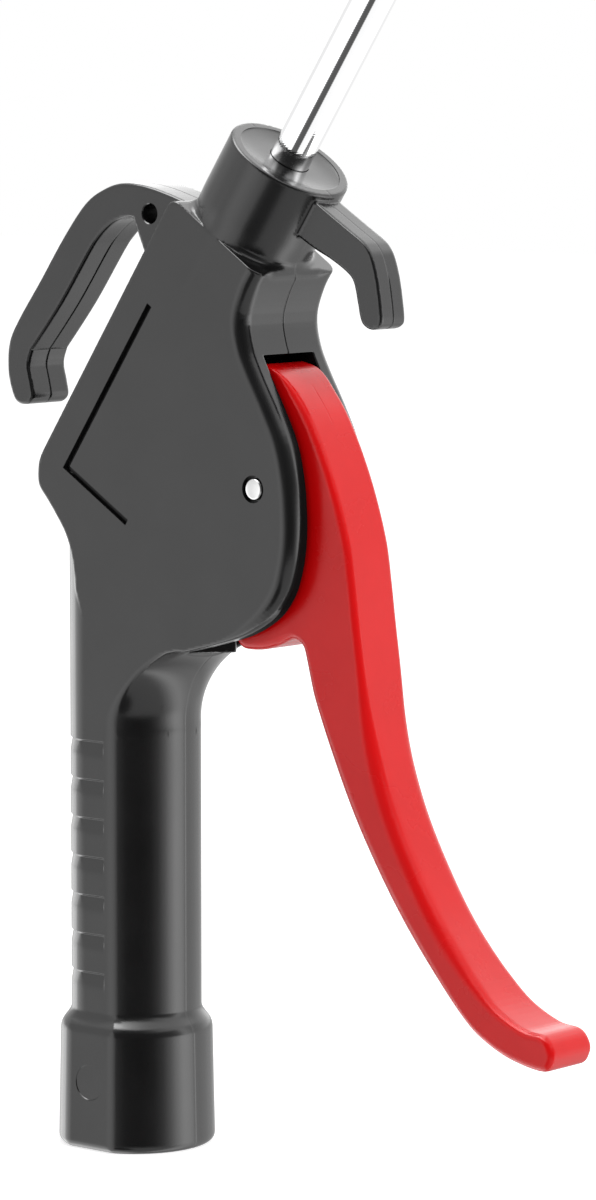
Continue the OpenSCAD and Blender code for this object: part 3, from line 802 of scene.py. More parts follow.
@dataclass
class Body:
    """The one-piece moulded body, from the inlet to the collar with both hooks.

    Sizes are in millimetres: an edge is the radius of an outer corner, a blend that of an inner one. The tables give
    outlines as shares: front and line of the head's length and height, bulge of the way from the handle's flat to
    the foot of the head's back edge, and those of the hooks of their own two lengths.
    """

    draft: float = 0.45
    draft_share: float = 0.6
    base_round: float = 3.0
    base_drop: float = 0.6
    base_edge: float = 1.4
    base_flat_edge: float = 0.35
    base_blend: float = 1.1
    grip_edge: float = 0.4
    head_blend: float = 0.6
    bar_start: float = 5.0
    bar_short: float = 8.0
    lobe_edge: float = 2.1
    lobe_start: float = 18.0
    lobe_run: float = 12.0
    lobe_shift: float = 7.0
    shoulder_edge: float = 0.35
    shoulder_soft: float = 1.2
    collar_edge: float = 0.5
    collar_taper: float = 0.12
    collar_blend: Pair = (0.1, 1.1)
    arm_blend: float = 0.5
    shelf_spare: float = 3.0
    hook_w: float = 9.0
    hook_edge: float = 0.45
    hook_reach: float = 20.0
    hook_drop: float = 50.0
    hook_hole: Pair = (0.156, 0.305)
    hole_d: float = 3.1
    finger_w: float = 6.0
    finger_edge: float = 0.45
    finger_reach: float = 31.0
    finger_rise: float = 13.0
    corner_r: float = 2.0
    ridge_n: int = 7
    ridge_pitch: float = 6.3
    ridge_z: float = 29.0
    ridge_deep: float = 0.4
    ridge_step: float = 0.3
    ridge_fade: float = 2.3
    ridge_end: Pair = (1.9, 1.75)
    slot_edge: float = 0.3
    seam_w: float = 0.13
    seam_deep: float = 0.07
    seam_shares: tuple[float, float, float] = (0.6, 1.6, 1.1)
    line_w: float = 1.0
    line_deep: float = 0.95
    line_flare: tuple[float, float, float] = (0.85, 1.0, 1.6)
    mark_d: float = 5.7
    mark_deep: float = 0.06
    crease_r: float = 0.13
    flare_top: float = 0.945
    flare_edge: float = 0.4
    flare_wall: float = 5.0
    flare_foot: float = 2.0
    mouth_gap: float = 1.4
    mouth_fade: Pair = (16.0, 18.5)
    tongue_x: float = 21.5
    tongue_back: float = 15.0
    tongue_z: float = 83.0
    tongue_h: float = 2.4
    tongue_slope: float = 5 / 6
    airway_top: float = 92.0
    duct_r: float = 2.5
    duct_l: float = 40.0
    front: Sequence[Pair] = (
        (0.839, 0.839), (0.807, 0.8), (0.782, 0.742), (0.794, 0.683), (0.827, 0.628), (0.88, 0.556), (0.928, 0.481),
        (0.954, 0.4), (0.963, 0.32), (0.961, 0.26), (0.948, 0.202), (0.922, 0.147), (0.868, 0.096), (0.777, 0.055),
        (0.67, 0.029), (0.562, 0.007))
    bulge: Sequence[Pair] = (
        (1.26, 0.12), (1.33, 0.23), (1.27, 0.315), (1, 0.405), (0.73, 0.5), (0.44, 0.615), (0.24, 0.745), (0.13, 0.87),
        (0.07, 1))
    hook_outer: Sequence[Pair] = (
        (0.02, -0.15), (0.05, 0.15), (0.09, 0.44), (0.14, 0.67), (0.2, 0.81), (0.29, 0.92), (0.44, 0.965), (0.61, 0.98),
        (0.77, 1), (0.86, 0.98), (0.94, 0.865), (0.99, 0.72), (1, 0.63), (0.98, 0.545), (0.945, 0.525), (0.91, 0.605),
        (0.87, 0.71), (0.82, 0.745))
    hook_inner: Sequence[Pair] = (
        (0.82, 0.745), (0.62, 0.69), (0.41, 0.67), (0.345, 0.65), (0.29, 0.61), (0.25, 0.555), (0.22, 0.485),
        (0.21, 0.435))
    hook_root: Sequence[Pair] = ((0.32, 0), (0.34, -0.15))
    finger: Sequence[Pair] = (
        (0.2, 0.97), (0.35, 0.975), (0.55, 0.99), (0.665, 1), (0.715, 0.985), (0.77, 0.93), (0.85, 0.78), (0.93, 0.585),
        (0.995, 0.4), (1, 0.31), (0.97, 0.215), (0.92, 0.185), (0.877, 0.225), (0.81, 0.375), (0.74, 0.52),
        (0.675, 0.555), (0.56, 0.54), (0.455, 0.5), (0.35, 0.477), (0.2, 0.46))
    line: Sequence[Pair] = ((0.434, 0.76), (0.119, 0.398), (0.342, 0.288))
    outlines: dict[str, Outline] = field(default_factory=dict)

    def __post_init__(self) -> None:
        """Draws the outlines."""
        g = GUN
        self.outlines = {
            "head": Outline(self.head_points()),
            "hook": Outline(self.hook_points()),
            "finger": Outline(smooth_line(placed(self.finger, g.nozzle, self.finger_reach * g.across,
                                                 self.finger_rise * g.along))),
            "slot": Outline(self.slot_points()),
        }

    def head_points(self) -> Array:
        """Draws the head: rounded corner, front lobe, underside, back bulge and back edge.

        The line of the shoulder is drawn too high, because the shoulder is cut afterwards with its own small edge.

        Returns:
            The outline's points.
        """
        g = GUN
        turn = np.radians(np.arange(0, 91, 11.25))[:, None]
        corner = g.back_top + self.corner_r * ((1 - np.cos(turn)) * g.across - (1 - np.sin(turn)) * g.along)
        front = smooth_line(g.on_head(self.front))
        raised = np.array([corner[-1] + 5 * g.along, front[0] + self.shelf_spare * (front[0] - front[4])])
        foot_z = g.head_z + 0.125 * g.head_h
        bulge = placed(self.bulge, np.array([-g.flat_x, g.back_low[1]]), np.array([g.back_low[0] + g.flat_x, 0]),
                       np.array([0, foot_z - g.back_low[1]]))
        back = smooth_line(np.vstack([g.back_low, bulge]))[::-1]
        return np.vstack([corner, raised, front, [[0, g.head_z]], back])

    @property
    def hook_corner(self) -> int:
        """Number of the hook's outline point in the corner above its tip."""
        return len(smooth_line(self.hook_outer)) - 1

    def hook_points(self) -> Array:
        """Draws the hanging hook."""
        g = GUN
        u, v = -self.hook_drop * g.along, -self.hook_reach * g.across
        outer, inner, root = (placed(s, g.back_top, u, v) for s in (self.hook_outer, self.hook_inner, self.hook_root))
        return np.vstack([smooth_line(outer), smooth_line(inner), root])

    def slot_points(self, slot_x: float = 16.5, low: float = 69.6, roof_r: float = 20.6) -> Array:
        """Draws the slot in which the lever swings."""
        x, z = GUN.pin
        end = math.degrees(math.asin((x - GUN.step_x) / roof_r))
        turn = np.radians(90 + np.linspace(end, 0, 12))
        arc = np.stack([x + roof_r * np.cos(turn), z + roof_r * np.sin(turn)], 1)
        far = GUN.head_x + 2 * GUN.head_l
        return np.vstack([[slot_x, low], [slot_x, z + 0.8], [GUN.step_x, z + 6.8], arc, [far, z + roof_r], [far, low]])

    def edge_r(self, x: Array, z: Array) -> Array:
        """Gives the head's edge radius: small at the back, shoulder and slot's mouth, large down the neck and lobe."""
        start = self.lobe_start + self.lobe_shift * ramp(100, 90, z)
        return self.grip_edge + self.lobe_edge * ramp(0, self.lobe_run, x - start)

    def _shoulder(self, shape: Array, x: Array, y: Array, z: Array) -> Array:
        """Cuts the shoulder off square to the nozzle, crisp at the sides and softer down to the neck.

        Args:
            shape: signed distances to the uncut head.
            x: places along X.
            y: places along Y.
            z: places along Z.

        Returns:
            Signed distances to the cut head.
        """
        g = GUN
        dx, dz = x - g.nozzle[0], z - g.nozzle[1]
        forward = dx * g.across[0] + dz * g.across[1]
        soft = self.shoulder_soft * ramp(8.5, 5, np.abs(y)) * ramp(7, 11, forward)
        r = ramp(-8, -4, forward) * (self.shoulder_edge + soft)
        return eased(shape, dx * g.along[0] + dz * g.along[1], r)

    def ridge(self, x: Array, z: Array) -> Array:
        """Gives how far the finger ridges lower the surface."""
        deep = 0.0
        for i in range(self.ridge_n):
            below = self.ridge_z + i * self.ridge_pitch - z
            step = np.clip(below / self.ridge_step, 0, 1) * np.clip(1 - below / self.ridge_fade, 0, 1)
            deep = deep + self.ridge_deep * step
        return deep * ramp(*self.ridge_end, x)

    def distance(self, x: Array, y: Array, z: Array) -> Array:
        """Measures the signed distance to the body at places X, Y and Z."""
        g = GUN
        side = np.abs(y) - g.head_t / 2
        ring = np.hypot(x, y)
        handle = np.minimum(self._bar(ring, z), self._trumpet(ring, x, z))
        shape = fillet(handle, self.outlines["head"].distance(x, z), self.head_blend)
        whole = self._shoulder(eased(shape, side, self.edge_r(x, z)), x, y, z)
        whole = fillet(whole + self.ridge(x, z), self._base(ring, y, z), self.base_blend)
        least, more = self.collar_blend
        whole = fillet(whole, self._collar(x, y, z), least + more * ramp(9.8, 8.6, np.abs(y)))
        hook = eased(self.outlines["hook"].distance(x, z), np.abs(y) - self.hook_w / 2, self.hook_edge)
        finger = eased(self.outlines["finger"].distance(x, z), np.abs(y) - self.finger_w / 2, self.finger_edge)
        whole = fillet(fillet(whole, hook, self.arm_blend), finger, self.arm_blend)
        slot = np.maximum(self.outlines["slot"].distance(x, z), np.abs(y) - g.slot_w / 2)
        whole = np.minimum(eased(whole, -slot, self.slot_edge), self._tongue(x, y, z))
        return whole + self._seam(x, z) * np.exp(-(y / self.seam_w) ** 2)

    def _seam(self, x: Array, z: Array) -> Array:
        """Gives the depth of the mould's parting line: deeper in the hanging hook and the neck, faint elsewhere."""
        hook = ramp(12, 6, x) * ramp(148, 145, z) * ramp(98, 102, z)
        neck = ramp(26, 28, x) * ramp(143, 141, z) * ramp(118, 121, z)
        faint, more_hook, more_neck = self.seam_shares
        return self.seam_deep * (faint + more_hook * hook + more_neck * neck)

    def _bar(self, ring: Array, z: Array) -> Array:
        """Measures the round handle."""
        upright = np.maximum(ring - GUN.grip_d / 2, z - GUN.back_low[1] + self.bar_short)
        return np.maximum(upright, self.bar_start - z)

    def _trumpet(self, ring: Array, x: Array, z: Array) -> Array:
        """Measures the flare under the lobe; its rim stops short of the cheeks at the slot's mouth."""
        g = GUN
        rim = g.grip_d / 2 + g.flare_r
        hollow = g.flare_r - np.hypot(ring - rim, z - g.flare_z)
        hollow = np.maximum(np.maximum(hollow, ring - rim + self.flare_wall), g.flare_z - self.flare_foot - z)
        top = g.flare_z + g.flare_r * self.flare_top - self.mouth_gap * ramp(*self.mouth_fade, x)
        return np.maximum(eased(hollow, z - top, self.flare_edge), -x)

    def _tongue(self, x: Array, y: Array, z: Array) -> Array:
        """Measures the pointed tongue at the foot of the slot's back wall."""
        nose = (x - self.tongue_x + self.tongue_slope * np.abs(y)) / math.hypot(1, self.tongue_slope)
        return np.maximum(np.maximum(nose, self.tongue_back - x), np.abs(z - self.tongue_z) - self.tongue_h / 2)

    def _base(self, ring: Array, y: Array, z: Array) -> Array:
        """Measures the base, which widens a little downward."""
        g = GUN
        lean = self.draft * (z / g.base_h - self.draft_share)
        wall = eased(ring - g.base_d / 2 + lean, np.abs(y) - g.base_flat_w / 2 + lean, self.base_flat_edge)
        return eased(eased(wall, z - g.base_h + self.base_drop, self.base_round), -z, self.base_edge)

    def _collar(self, x: Array, y: Array, z: Array) -> Array:
        """Measures the collar round the nozzle."""
        g = GUN
        dx, dz = x - g.nozzle[0], z - g.nozzle[1]
        height = dx * g.along[0] + dz * g.along[1]
        ring = np.hypot(dx * g.across[0] + dz * g.across[1], y)
        tapered = ring - g.collar_d / 2 + self.collar_taper * ramp(4, 0, height)
        return np.maximum(eased(tapered, height - g.collar_h, self.collar_edge), -height - g.collar_d / 2)

    def grid(self) -> tuple[Array, Array, Array]:
        """Spaces the planes that the body is measured on."""
        ridges = [(self.ridge_z + i * self.ridge_pitch - 0.4, self.ridge_z + i * self.ridge_pitch + 0.2, 0.1)
                  for i in range(self.ridge_n)]
        y = planes(0.04, 13, 0.75, [(0, 0.2, 0.08), (0.2, 0.5, 0.15), (2.6, 3.3, 0.25), (4.1, 4.8, 0.25),
                                    (5.6, 6.6, 0.25), (7.4, 8.6, 0.5), (8.6, 10.4, 0.25), (11, 12, 0.25)])
        x = planes(-32, 60, NET, [(1.6, 2.05, 0.1)])
        return x, np.concatenate([-y[::-1], y]), self._z_planes(ridges)

    def _z_planes(self, ridges: Sequence[tuple[float, float, float]]) -> Array:
        """Spaces the planes along the handle, wide apart where it is plain."""
        low = planes(-1.05, 23.5, NET)
        grip = planes(low[-1] + NET, 69.5, 1.1, ridges)
        return np.concatenate([low, grip, planes(grip[-1] + NET, 174, NET)])

    def cutters(self) -> list[bpy.types.Object]:
        """Makes the solids that are cut from the body: bores, pin hole, hook hole, round mark, crease and groove."""
        return [self._turned("cut_inlet", self._inlet_seat()),
                self._turned("cut_nozzle", self._nozzle_seat(), GUN.nozzle_matrix()),
                self._turned("cut_valve", self._valve_seat(), GUN.valve_matrix),
                self._turned("cut_pin", self._pin_seat(), crosswise(*GUN.pin), 48),
                self._hook_hole(), self._mark(), self._crease(), self._groove()]

    def _turned(self, name: str, profile: Sequence[Pair], matrix: Matrix | None = None, segments: int = 96,
                ) -> bpy.types.Object:
        """Makes one turned cutter from a profile."""
        return to_object(name, *spun(profile, segments), matrix)

    def _inlet_seat(self, lead: float = 0.57) -> list[Pair]:
        """Draws the seat of the inlet's insert, with its two rings of plastic, and the airway above it."""
        inlet = Inlet()
        r, top, airway = inlet.insert_d / 2 + FIT, inlet.length + FIT, inlet.airway_d / 2
        inner, low, w = r - inlet.anchor, inlet.thread_l / 4, inlet.anchor_w
        return [(0, -3), (r + lead, -3), (r + lead, -0.5), (r, 0.15), (r, low), (inner, low), (inner, low + w),
                (r, low + w), (r, low + 2 * w), (inner, low + 2 * w), (inner, low + 3 * w), (r, low + 3 * w),
                (r, top), (airway, top), (airway, self.airway_top), (0, self.airway_top)]

    def _nozzle_seat(self) -> list[Pair]:
        """Draws the duct, the bush's seat, the tube's hole and the recess in the collar's face."""
        bush, face = Bush(), GUN.face_h
        r, low, high = bush.r + FIT, bush.low - FIT, bush.high + FIT
        inner, first, second = r - bush.anchor, bush.low + bush.anchor_w + FIT, bush.low + 2 * bush.anchor_w - FIT
        return [(0, -self.duct_l), (self.duct_r, -self.duct_l), (self.duct_r, low), (r, low), (r, first),
                (inner, first), (inner, second), (r, second), (r, high), (bush.bore_r, high),
                (bush.bore_r, face - 0.5), (3.35, face), (8.2, face), (8.5, face + 0.15), (8.8, face + 1),
                (0, face + 1)]

    def _valve_seat(self) -> list[Pair]:
        """Draws the stepped bore for the valve, with a chamfer at its mouth."""
        valve = Valve()
        r, mouth = valve.gland_r + FIT, valve.gland_x + valve.gland_l
        return [(0, valve.spring_x), (valve.chamber_r, valve.spring_x), (valve.chamber_r, valve.seat_x),
                (valve.seat_r + FIT, valve.seat_x), (valve.seat_r + FIT, valve.gland_x), (r, valve.gland_x),
                (r, mouth), (r + 0.3, mouth + 0.4), (r + 0.3, mouth + 1.3), (0, mouth + 1.3)]

    def _pin_seat(self, sink: float = 0.45, deep: float = 1.1) -> list[Pair]:
        """Draws the pin's hole, sunk at both ends, where a dark ring shows round the pin."""
        half, r = GUN.head_t / 2, GUN.pin_d / 2
        end = [(r + FIT, half - deep), (r + sink, half - deep), (r + sink, half - 0.05), (r + sink + 0.3, half + 1),
               (0, half + 1)]
        return [(a, -b) for a, b in end[::-1]] + end

    def _hook_hole(self, chamfer: float = 0.15) -> bpy.types.Object:
        """Makes the hanging hole's cutter, chamfered at both ends."""
        x, z = placed([self.hook_hole], GUN.back_top, -self.hook_drop * GUN.along, -self.hook_reach * GUN.across)[0]
        w, r = self.hook_w / 2, self.hole_d / 2
        end = [(r, w - chamfer), (r + chamfer, w), (r + 1, w + 1), (0, w + 1)]
        return self._turned("cut_hook_hole", [(a, -b) for a, b in end[::-1]] + end, crosswise(x, z), 48)

    def _mark(self) -> bpy.types.Object:
        """Makes the cutter of the faint round mark on the base's near flat, with a sloping wall."""
        r, y = self.mark_d / 2, -GUN.base_flat_w / 2 + self.mark_deep
        return self._turned("cut_mark", [(0, 0), (r - 0.05, 0), (r + 0.07, 0.14), (r + 0.3, 2), (0, 2)],
                            crosswise(0, GUN.base_h / 2, y), 64)

    def _crease(self) -> bpy.types.Object:
        """Makes the cutter of the fine crease in the corner above the hanging hook's tip."""
        x, z = self.outlines["hook"].points[self.hook_corner]
        r, w = self.crease_r, self.hook_w / 2 + 1
        return self._turned("cut_crease", [(0, -w), (r, -w), (r, w), (0, w)], crosswise(x, z), 12)

    def _groove(self) -> bpy.types.Object:
        """Makes the cutter of the plain L-shaped groove on the near side."""
        a, b, c = GUN.on_head(self.line)
        w, y = self.line_w / 2, -GUN.head_t / 2
        one, two = (b - a) / np.linalg.norm(b - a), (c - b) / np.linalg.norm(c - b)
        n_one, n_two = np.array([-one[1], one[0]]), np.array([-two[1], two[0]])
        miter = (n_one + n_two) / (1 + n_one @ n_two)
        points = []
        for depth, flare in zip((y + self.line_deep, y + 0.1, y - 0.5), self.line_flare):
            s = w * flare
            for x, z in (a - one * s + n_one * s, b + miter * s, c + two * s + n_two * s,
                         c + two * s - n_two * s, b - miter * s, a - one * s - n_one * s):
                points.append((x, depth, z))
        n = 6
        faces = [list(range(n)), list(range(2 * n, 3 * n))[::-1]]
        for level in (0, n):
            faces += [[level + i, level + n + i, level + n + (i + 1) % n, level + (i + 1) % n] for i in range(n)]
        obj = to_object("cut_groove", points, faces)
        face_out(obj)
        return obj

    def build(self, paint: Paintbox) -> bpy.types.Object:
        """Builds the body.

        Args:
            paint: the finishes.

        Returns:
            The body, riding on the housing in place of its CAD node.
        """
        obj = to_object("moulded_body", *Skin(self.distance, self.grid()).build())
        carved(obj, self.cutters())
        shaded(obj, self.distance)
        paint.dress(obj, Slot.BODY)
        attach(obj, "housing")
        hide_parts("body")
        return obj


@dataclass
class Lever:
    """The red squeeze lever, with its cam and its root between the head's cheeks.

    Its outline is given from the pin as shares of its reach, forward, and its drop. The cam is an involute about the
    pin, so that it pushes the stem straight and evenly.
    """

    reach: float = 55.0
    drop: float = 86.0
    top_r: float = 19.3
    top_end: float = 97.0
    stem_end: float = 20.0
    rest_gap: float = 0.05
    slot_gap: float = 0.3
    pin_gap: float = 0.08
    tail_z: float = 5.6
    cam_low: float = 19.0
    cam_high: float = -8.0
    edge: float = 0.4
    outer_edge: float = 0.85
    middle_edge: float = 1.1
    seam_w: float = 0.09
    seam_deep: float = 0.05
    front: Sequence[Pair] = (
        (0.012, 0.213), (0.062, 0.188), (0.118, 0.144), (0.165, 0.092), (0.21, 0.03), (0.246, -0.032),
        (0.277, -0.101), (0.295, -0.175), (0.306, -0.228), (0.318, -0.282), (0.331, -0.336), (0.35, -0.406),
        (0.378, -0.477), (0.415, -0.547), (0.463, -0.615), (0.53, -0.691), (0.592, -0.752), (0.656, -0.804),
        (0.723, -0.852), (0.802, -0.898), (0.897, -0.928), (0.969, -0.935), (1, -0.955), (1.003, -0.978), (0.969, -1),
        (0.854, -0.988), (0.758, -0.961), (0.692, -0.93), (0.591, -0.865), (0.5, -0.8), (0.421, -0.732),
        (0.351, -0.663), (0.288, -0.594), (0.233, -0.524), (0.185, -0.454), (0.145, -0.383), (0.13, -0.345),
        (0.117, -0.309), (0.104, -0.286), (0.075, -0.276), (0.045, -0.28), (0.011, -0.29), (-0.038, -0.299),
        (-0.084, -0.302), (-0.12, -0.3), (-0.14, -0.287), (-0.149, -0.264))

    def points(self) -> Array:
        """Draws the lever: its rounded top, its front and back, the cam and its tail."""
        x, z = GUN.pin
        back_x = GUN.step_x + self.slot_gap
        top = math.degrees(math.acos((x - back_x) / self.top_r))
        turn = np.radians(np.linspace(180 - top, self.top_end, 12))
        cap = np.stack([x + self.top_r * np.cos(turn), z + self.top_r * np.sin(turn)], 1)
        front = placed(self.front, GUN.pin, np.array([self.reach, 0]), np.array([0, self.drop]))
        front = smooth_line(np.vstack([cap[-1:], front]))[1:]
        a = np.radians(np.linspace(self.cam_low, self.cam_high, 12))
        h = x - self.stem_end - self.rest_gap + GUN.valve_drop * a
        cam = np.stack([x - h * np.cos(a) + GUN.valve_drop * np.sin(a),
                        z - h * np.sin(a) - GUN.valve_drop * np.cos(a)], 1)
        return np.vstack([cap, front, cam, [[back_x, z + self.tail_z]]])

    def build(self, paint: Paintbox) -> bpy.types.Object:
        """Builds the lever.

        Args:
            paint: the finishes.

        Returns:
            The lever, riding on its body in place of its CAD node.
        """
        outline = Outline(self.points())
        x0, z0 = GUN.pin
        half = GUN.lever_w / 2

        def distance(x: Array, y: Array, z: Array) -> Array:
            """Measures the signed distance to the lever."""
            shape = eased(outline.distance(x, z), np.abs(y) - half, self.edge_r(x, z))
            seam = self.seam_deep * np.exp(-(y / self.seam_w) ** 2)
            return shape + seam * ramp(z0 + 17, z0 + 14, z) * ramp(z0 + 9, z0 + 12, z)

        y = planes(0.04, 6, 0.8, [(0, 0.2, 0.08), (0.2, 0.5, 0.15), (3.9, 5.6, 0.22)])
        grid = (planes(x0 - 16, x0 + 58, NET), np.concatenate([-y[::-1], y]), planes(z0 - 88, z0 + 22, NET))
        obj = to_object("squeeze_lever", *Skin(distance, grid).build())
        r = GUN.pin_d / 2 + self.pin_gap
        carved(obj, [to_object("cut_lever", *spun([(0, -7), (r, -7), (r, 7), (0, 7)], 48), crosswise(x0, z0))])
        shaded(obj, distance)
        paint.dress(obj, Slot.LEVER)
        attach(obj, "lever")
        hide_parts("lever")
        return obj

    def edge_r(self, x: Array, z: Array) -> Array:
        """Gives the lever's edge radius: large down its middle, small at its end and on the root inside the slot."""
        outside = ramp(GUN.pin[0] - 6, GUN.pin[0], x + 0.35 * (GUN.pin[1] - z))
        return self.edge + outside * (self.outer_edge + self.middle_edge * ramp(84, 66, z) * ramp(28, 42, z))


@dataclass
class Nozzle:
    """The chromed tube with its necked tip; heights run along the nozzle's axis from the shoulder."""

    neck_l: float = 12.0
    neck_share: float = 0.68
    outlet_d: float = 2.5
    stub_step: float = 0.3
    stub_end: float = 7.5
    lip: float = 0.5
    inner_lip: float = 0.2

    def build(self, paint: Paintbox) -> bpy.types.Object:
        """Builds the tube.

        Args:
            paint: the finishes.

        Returns:
            The tube, riding on the housing in place of its CAD node.
        """
        r = GUN.tube_d / 2
        bore, stub, neck, hole = r - GUN.tube_wall, r - self.stub_step, r * self.neck_share, self.outlet_d / 2
        face, low, top = GUN.face_h + FIT, -self.stub_end, GUN.collar_h + GUN.tube_l
        share = np.linspace(0, 1, 14)
        drawn = 0.5 - 0.5 * np.cos(math.pi * share)
        heights = top - self.neck_l + self.neck_l / 2 * share
        shoulder = [(r + (neck - r) * d, z) for z, d in zip(heights, drawn)]
        throat = [(bore + (hole - bore) * d, z) for z, d in zip(heights, drawn)]
        lip = [(neck - self.lip * (1 - math.cos(a)), top - self.lip * (1 - math.sin(a)))
               for a in np.linspace(0, math.pi / 2, 6)]
        inner_lip = [(hole + self.inner_lip * (1 - math.sin(a)), top - self.inner_lip * (1 - math.cos(a)))
                     for a in np.linspace(0, math.pi / 2, 4)]
        profile = [(bore, low), (stub - 0.2, low), (stub, low + 0.2), (stub, face), (r - 0.08, face),
                   (r, face + 0.08), *shoulder, *lip, *inner_lip, *throat[::-1]]
        obj = to_object("nozzle_tube_chrome", *spun(profile, 128), GUN.nozzle_matrix())
        smoothed(obj, 30)
        paint.dress(obj, Slot.TUBE)
        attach(obj, "housing")
        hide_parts("nozzle_tube")
        return obj


@dataclass
class CrossPin:
    """The steel cross pin, with its domed ends."""

    dome: float = 0.35
    crown: float = 0.06

    def build(self, paint: Paintbox) -> bpy.types.Object:
        """Builds the pin.

        Args:
            paint: the finishes.

        Returns:
            The pin, riding on the housing in place of its CAD node.
        """
        half, r = GUN.head_t / 2 - GUN.pin_sink, GUN.pin_d / 2
        arc = [(r - self.dome * (1 - math.cos(a)), half - self.dome * (1 - math.sin(a)))
               for a in np.linspace(0, math.pi / 2, 6)]
        crown = [(arc[-1][0] * s, half + self.crown * (1 - s * s)) for s in (0.66, 0.33, 0)]
        upper = [*arc, *crown]
        profile = [(a, -b) for a, b in upper[::-1]] + upper
        obj = to_object("cross_pin", *spun(profile, 64), crosswise(*GUN.pin))
        smoothed(obj, 60)
        paint.dress(obj, Slot.PIN)
        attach(obj, "housing")
        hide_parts("lever_pin")
        return obj


@dataclass(frozen=True)
class Turned:
    """A piece turned about its own axis: the CAD node it stands for, its finish and its profile."""

    name: str
    node: str
    slot: Slot
    profile: Sequence[Pair]
    body: str = "housing"
    bevel: float = 0.12

    def build(self, paint: Paintbox, matrix: Matrix | None, cuts: Sequence[bpy.types.Object] = (),
              segments: int = 72) -> bpy.types.Object:
        """Builds the piece.

        Args:
            paint: the finishes.
            matrix: where its axis is, in millimetres.
            cuts: solids to cut from it.
            segments: steps round the axis.

        Returns:
            The piece, riding on its body in place of its CAD node.
        """
        profile = bevelled(self.profile, self.bevel) if self.bevel else self.profile
        obj = to_object(self.name, *spun(profile, segments), matrix)
        if cuts:
            carved(obj, cuts)
        smoothed(obj, 32)
        paint.dress(obj, self.slot)
        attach(obj, self.body)
        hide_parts(self.node)
        return obj


@dataclass
class Inlet:
    """The brass insert with the female G 1/4 thread, and its sealing ring."""

    insert_d: float = 18.0
    length: float = 16.0
    anchor: float = 0.8
    anchor_w: float = 2.0
    ring_d: float = 1.5
    thread_l: float = 12.0
    minor_d: float = 11.445
    major_d: float = 13.157
    pitch: float = 1.337
    airway_d: float = 8.0
    segments: int = 72
    steps: int = 12

    def thread_r(self, turn: Array, z: float) -> Array:
        """Gives the threaded bore's radius at angles and a height: a 55 degree form, cleared at both ends."""
        phase = np.mod(z / self.pitch - turn / (2 * math.pi), 1)
        form = np.clip(1.15 * np.abs(2 * phase - 1) - 0.075, 0, 1)
        runs_out = ramp(self.thread_l - 0.3, self.thread_l - 1.8, z)
        r = self.minor_d / 2 + (self.major_d - self.minor_d) / 2 * form * runs_out
        return np.maximum(r, self.major_d / 2 + 0.15 - z)

    def build(self, paint: Paintbox) -> list[bpy.types.Object]:
        """Builds the insert and its ring.

        Args:
            paint: the finishes.

        Returns:
            Both pieces.
        """
        r, low, w = self.insert_d / 2, self.thread_l / 4, self.anchor_w
        inner, airway, seat = r - self.anchor, self.airway_d / 2, self.length - self.ring_d
        floor, under, over = r - self.ring_d, seat - self.ring_d / 2, seat + self.ring_d / 2
        outside = [(r, 0), (r, low), (inner, low), (inner, low + w), (r, low + w), (r, low + 2 * w),
                   (inner, low + 2 * w), (inner, low + 3 * w), (r, low + 3 * w), (r, under), (floor, under),
                   (floor, over), (r, over), (r, self.length), (airway, self.length), (airway, self.thread_l),
                   (self.minor_d / 2, self.thread_l)]
        outside = bevelled(outside, 0.15)[1:]
        turns = 2 * math.pi * np.arange(self.segments) / self.segments
        rows = [np.stack([a * np.cos(turns), a * np.sin(turns), np.full_like(turns, b)], 1) for a, b in outside]
        count = round(self.thread_l / self.pitch * self.steps)
        for z in np.linspace(self.thread_l - 0.1, 0, count):
            a = self.thread_r(turns, z)
            rows.append(np.stack([a * np.cos(turns), a * np.sin(turns), np.full_like(turns, z)], 1))
        n = self.segments
        faces = [[i * n + k, i * n + (k + 1) % n, j * n + (k + 1) % n, j * n + k]
                 for i in range(len(rows)) for j in [(i + 1) % len(rows)] for k in range(n)]
        obj = to_object("threaded_insert", np.vstack(rows), faces)
        smoothed(obj, 32)
        paint.dress(obj, Slot.BRASS)
        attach(obj, "housing")
        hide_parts("inlet_insert")
        wire = self.ring_d - 2 * FIT
        ring = Turned("insert_ring", "inlet_oring", Slot.SEAL, wire_ring(r - self.ring_d / 2, wire, seat), bevel=0)
        return [obj, ring.build(paint, None)]


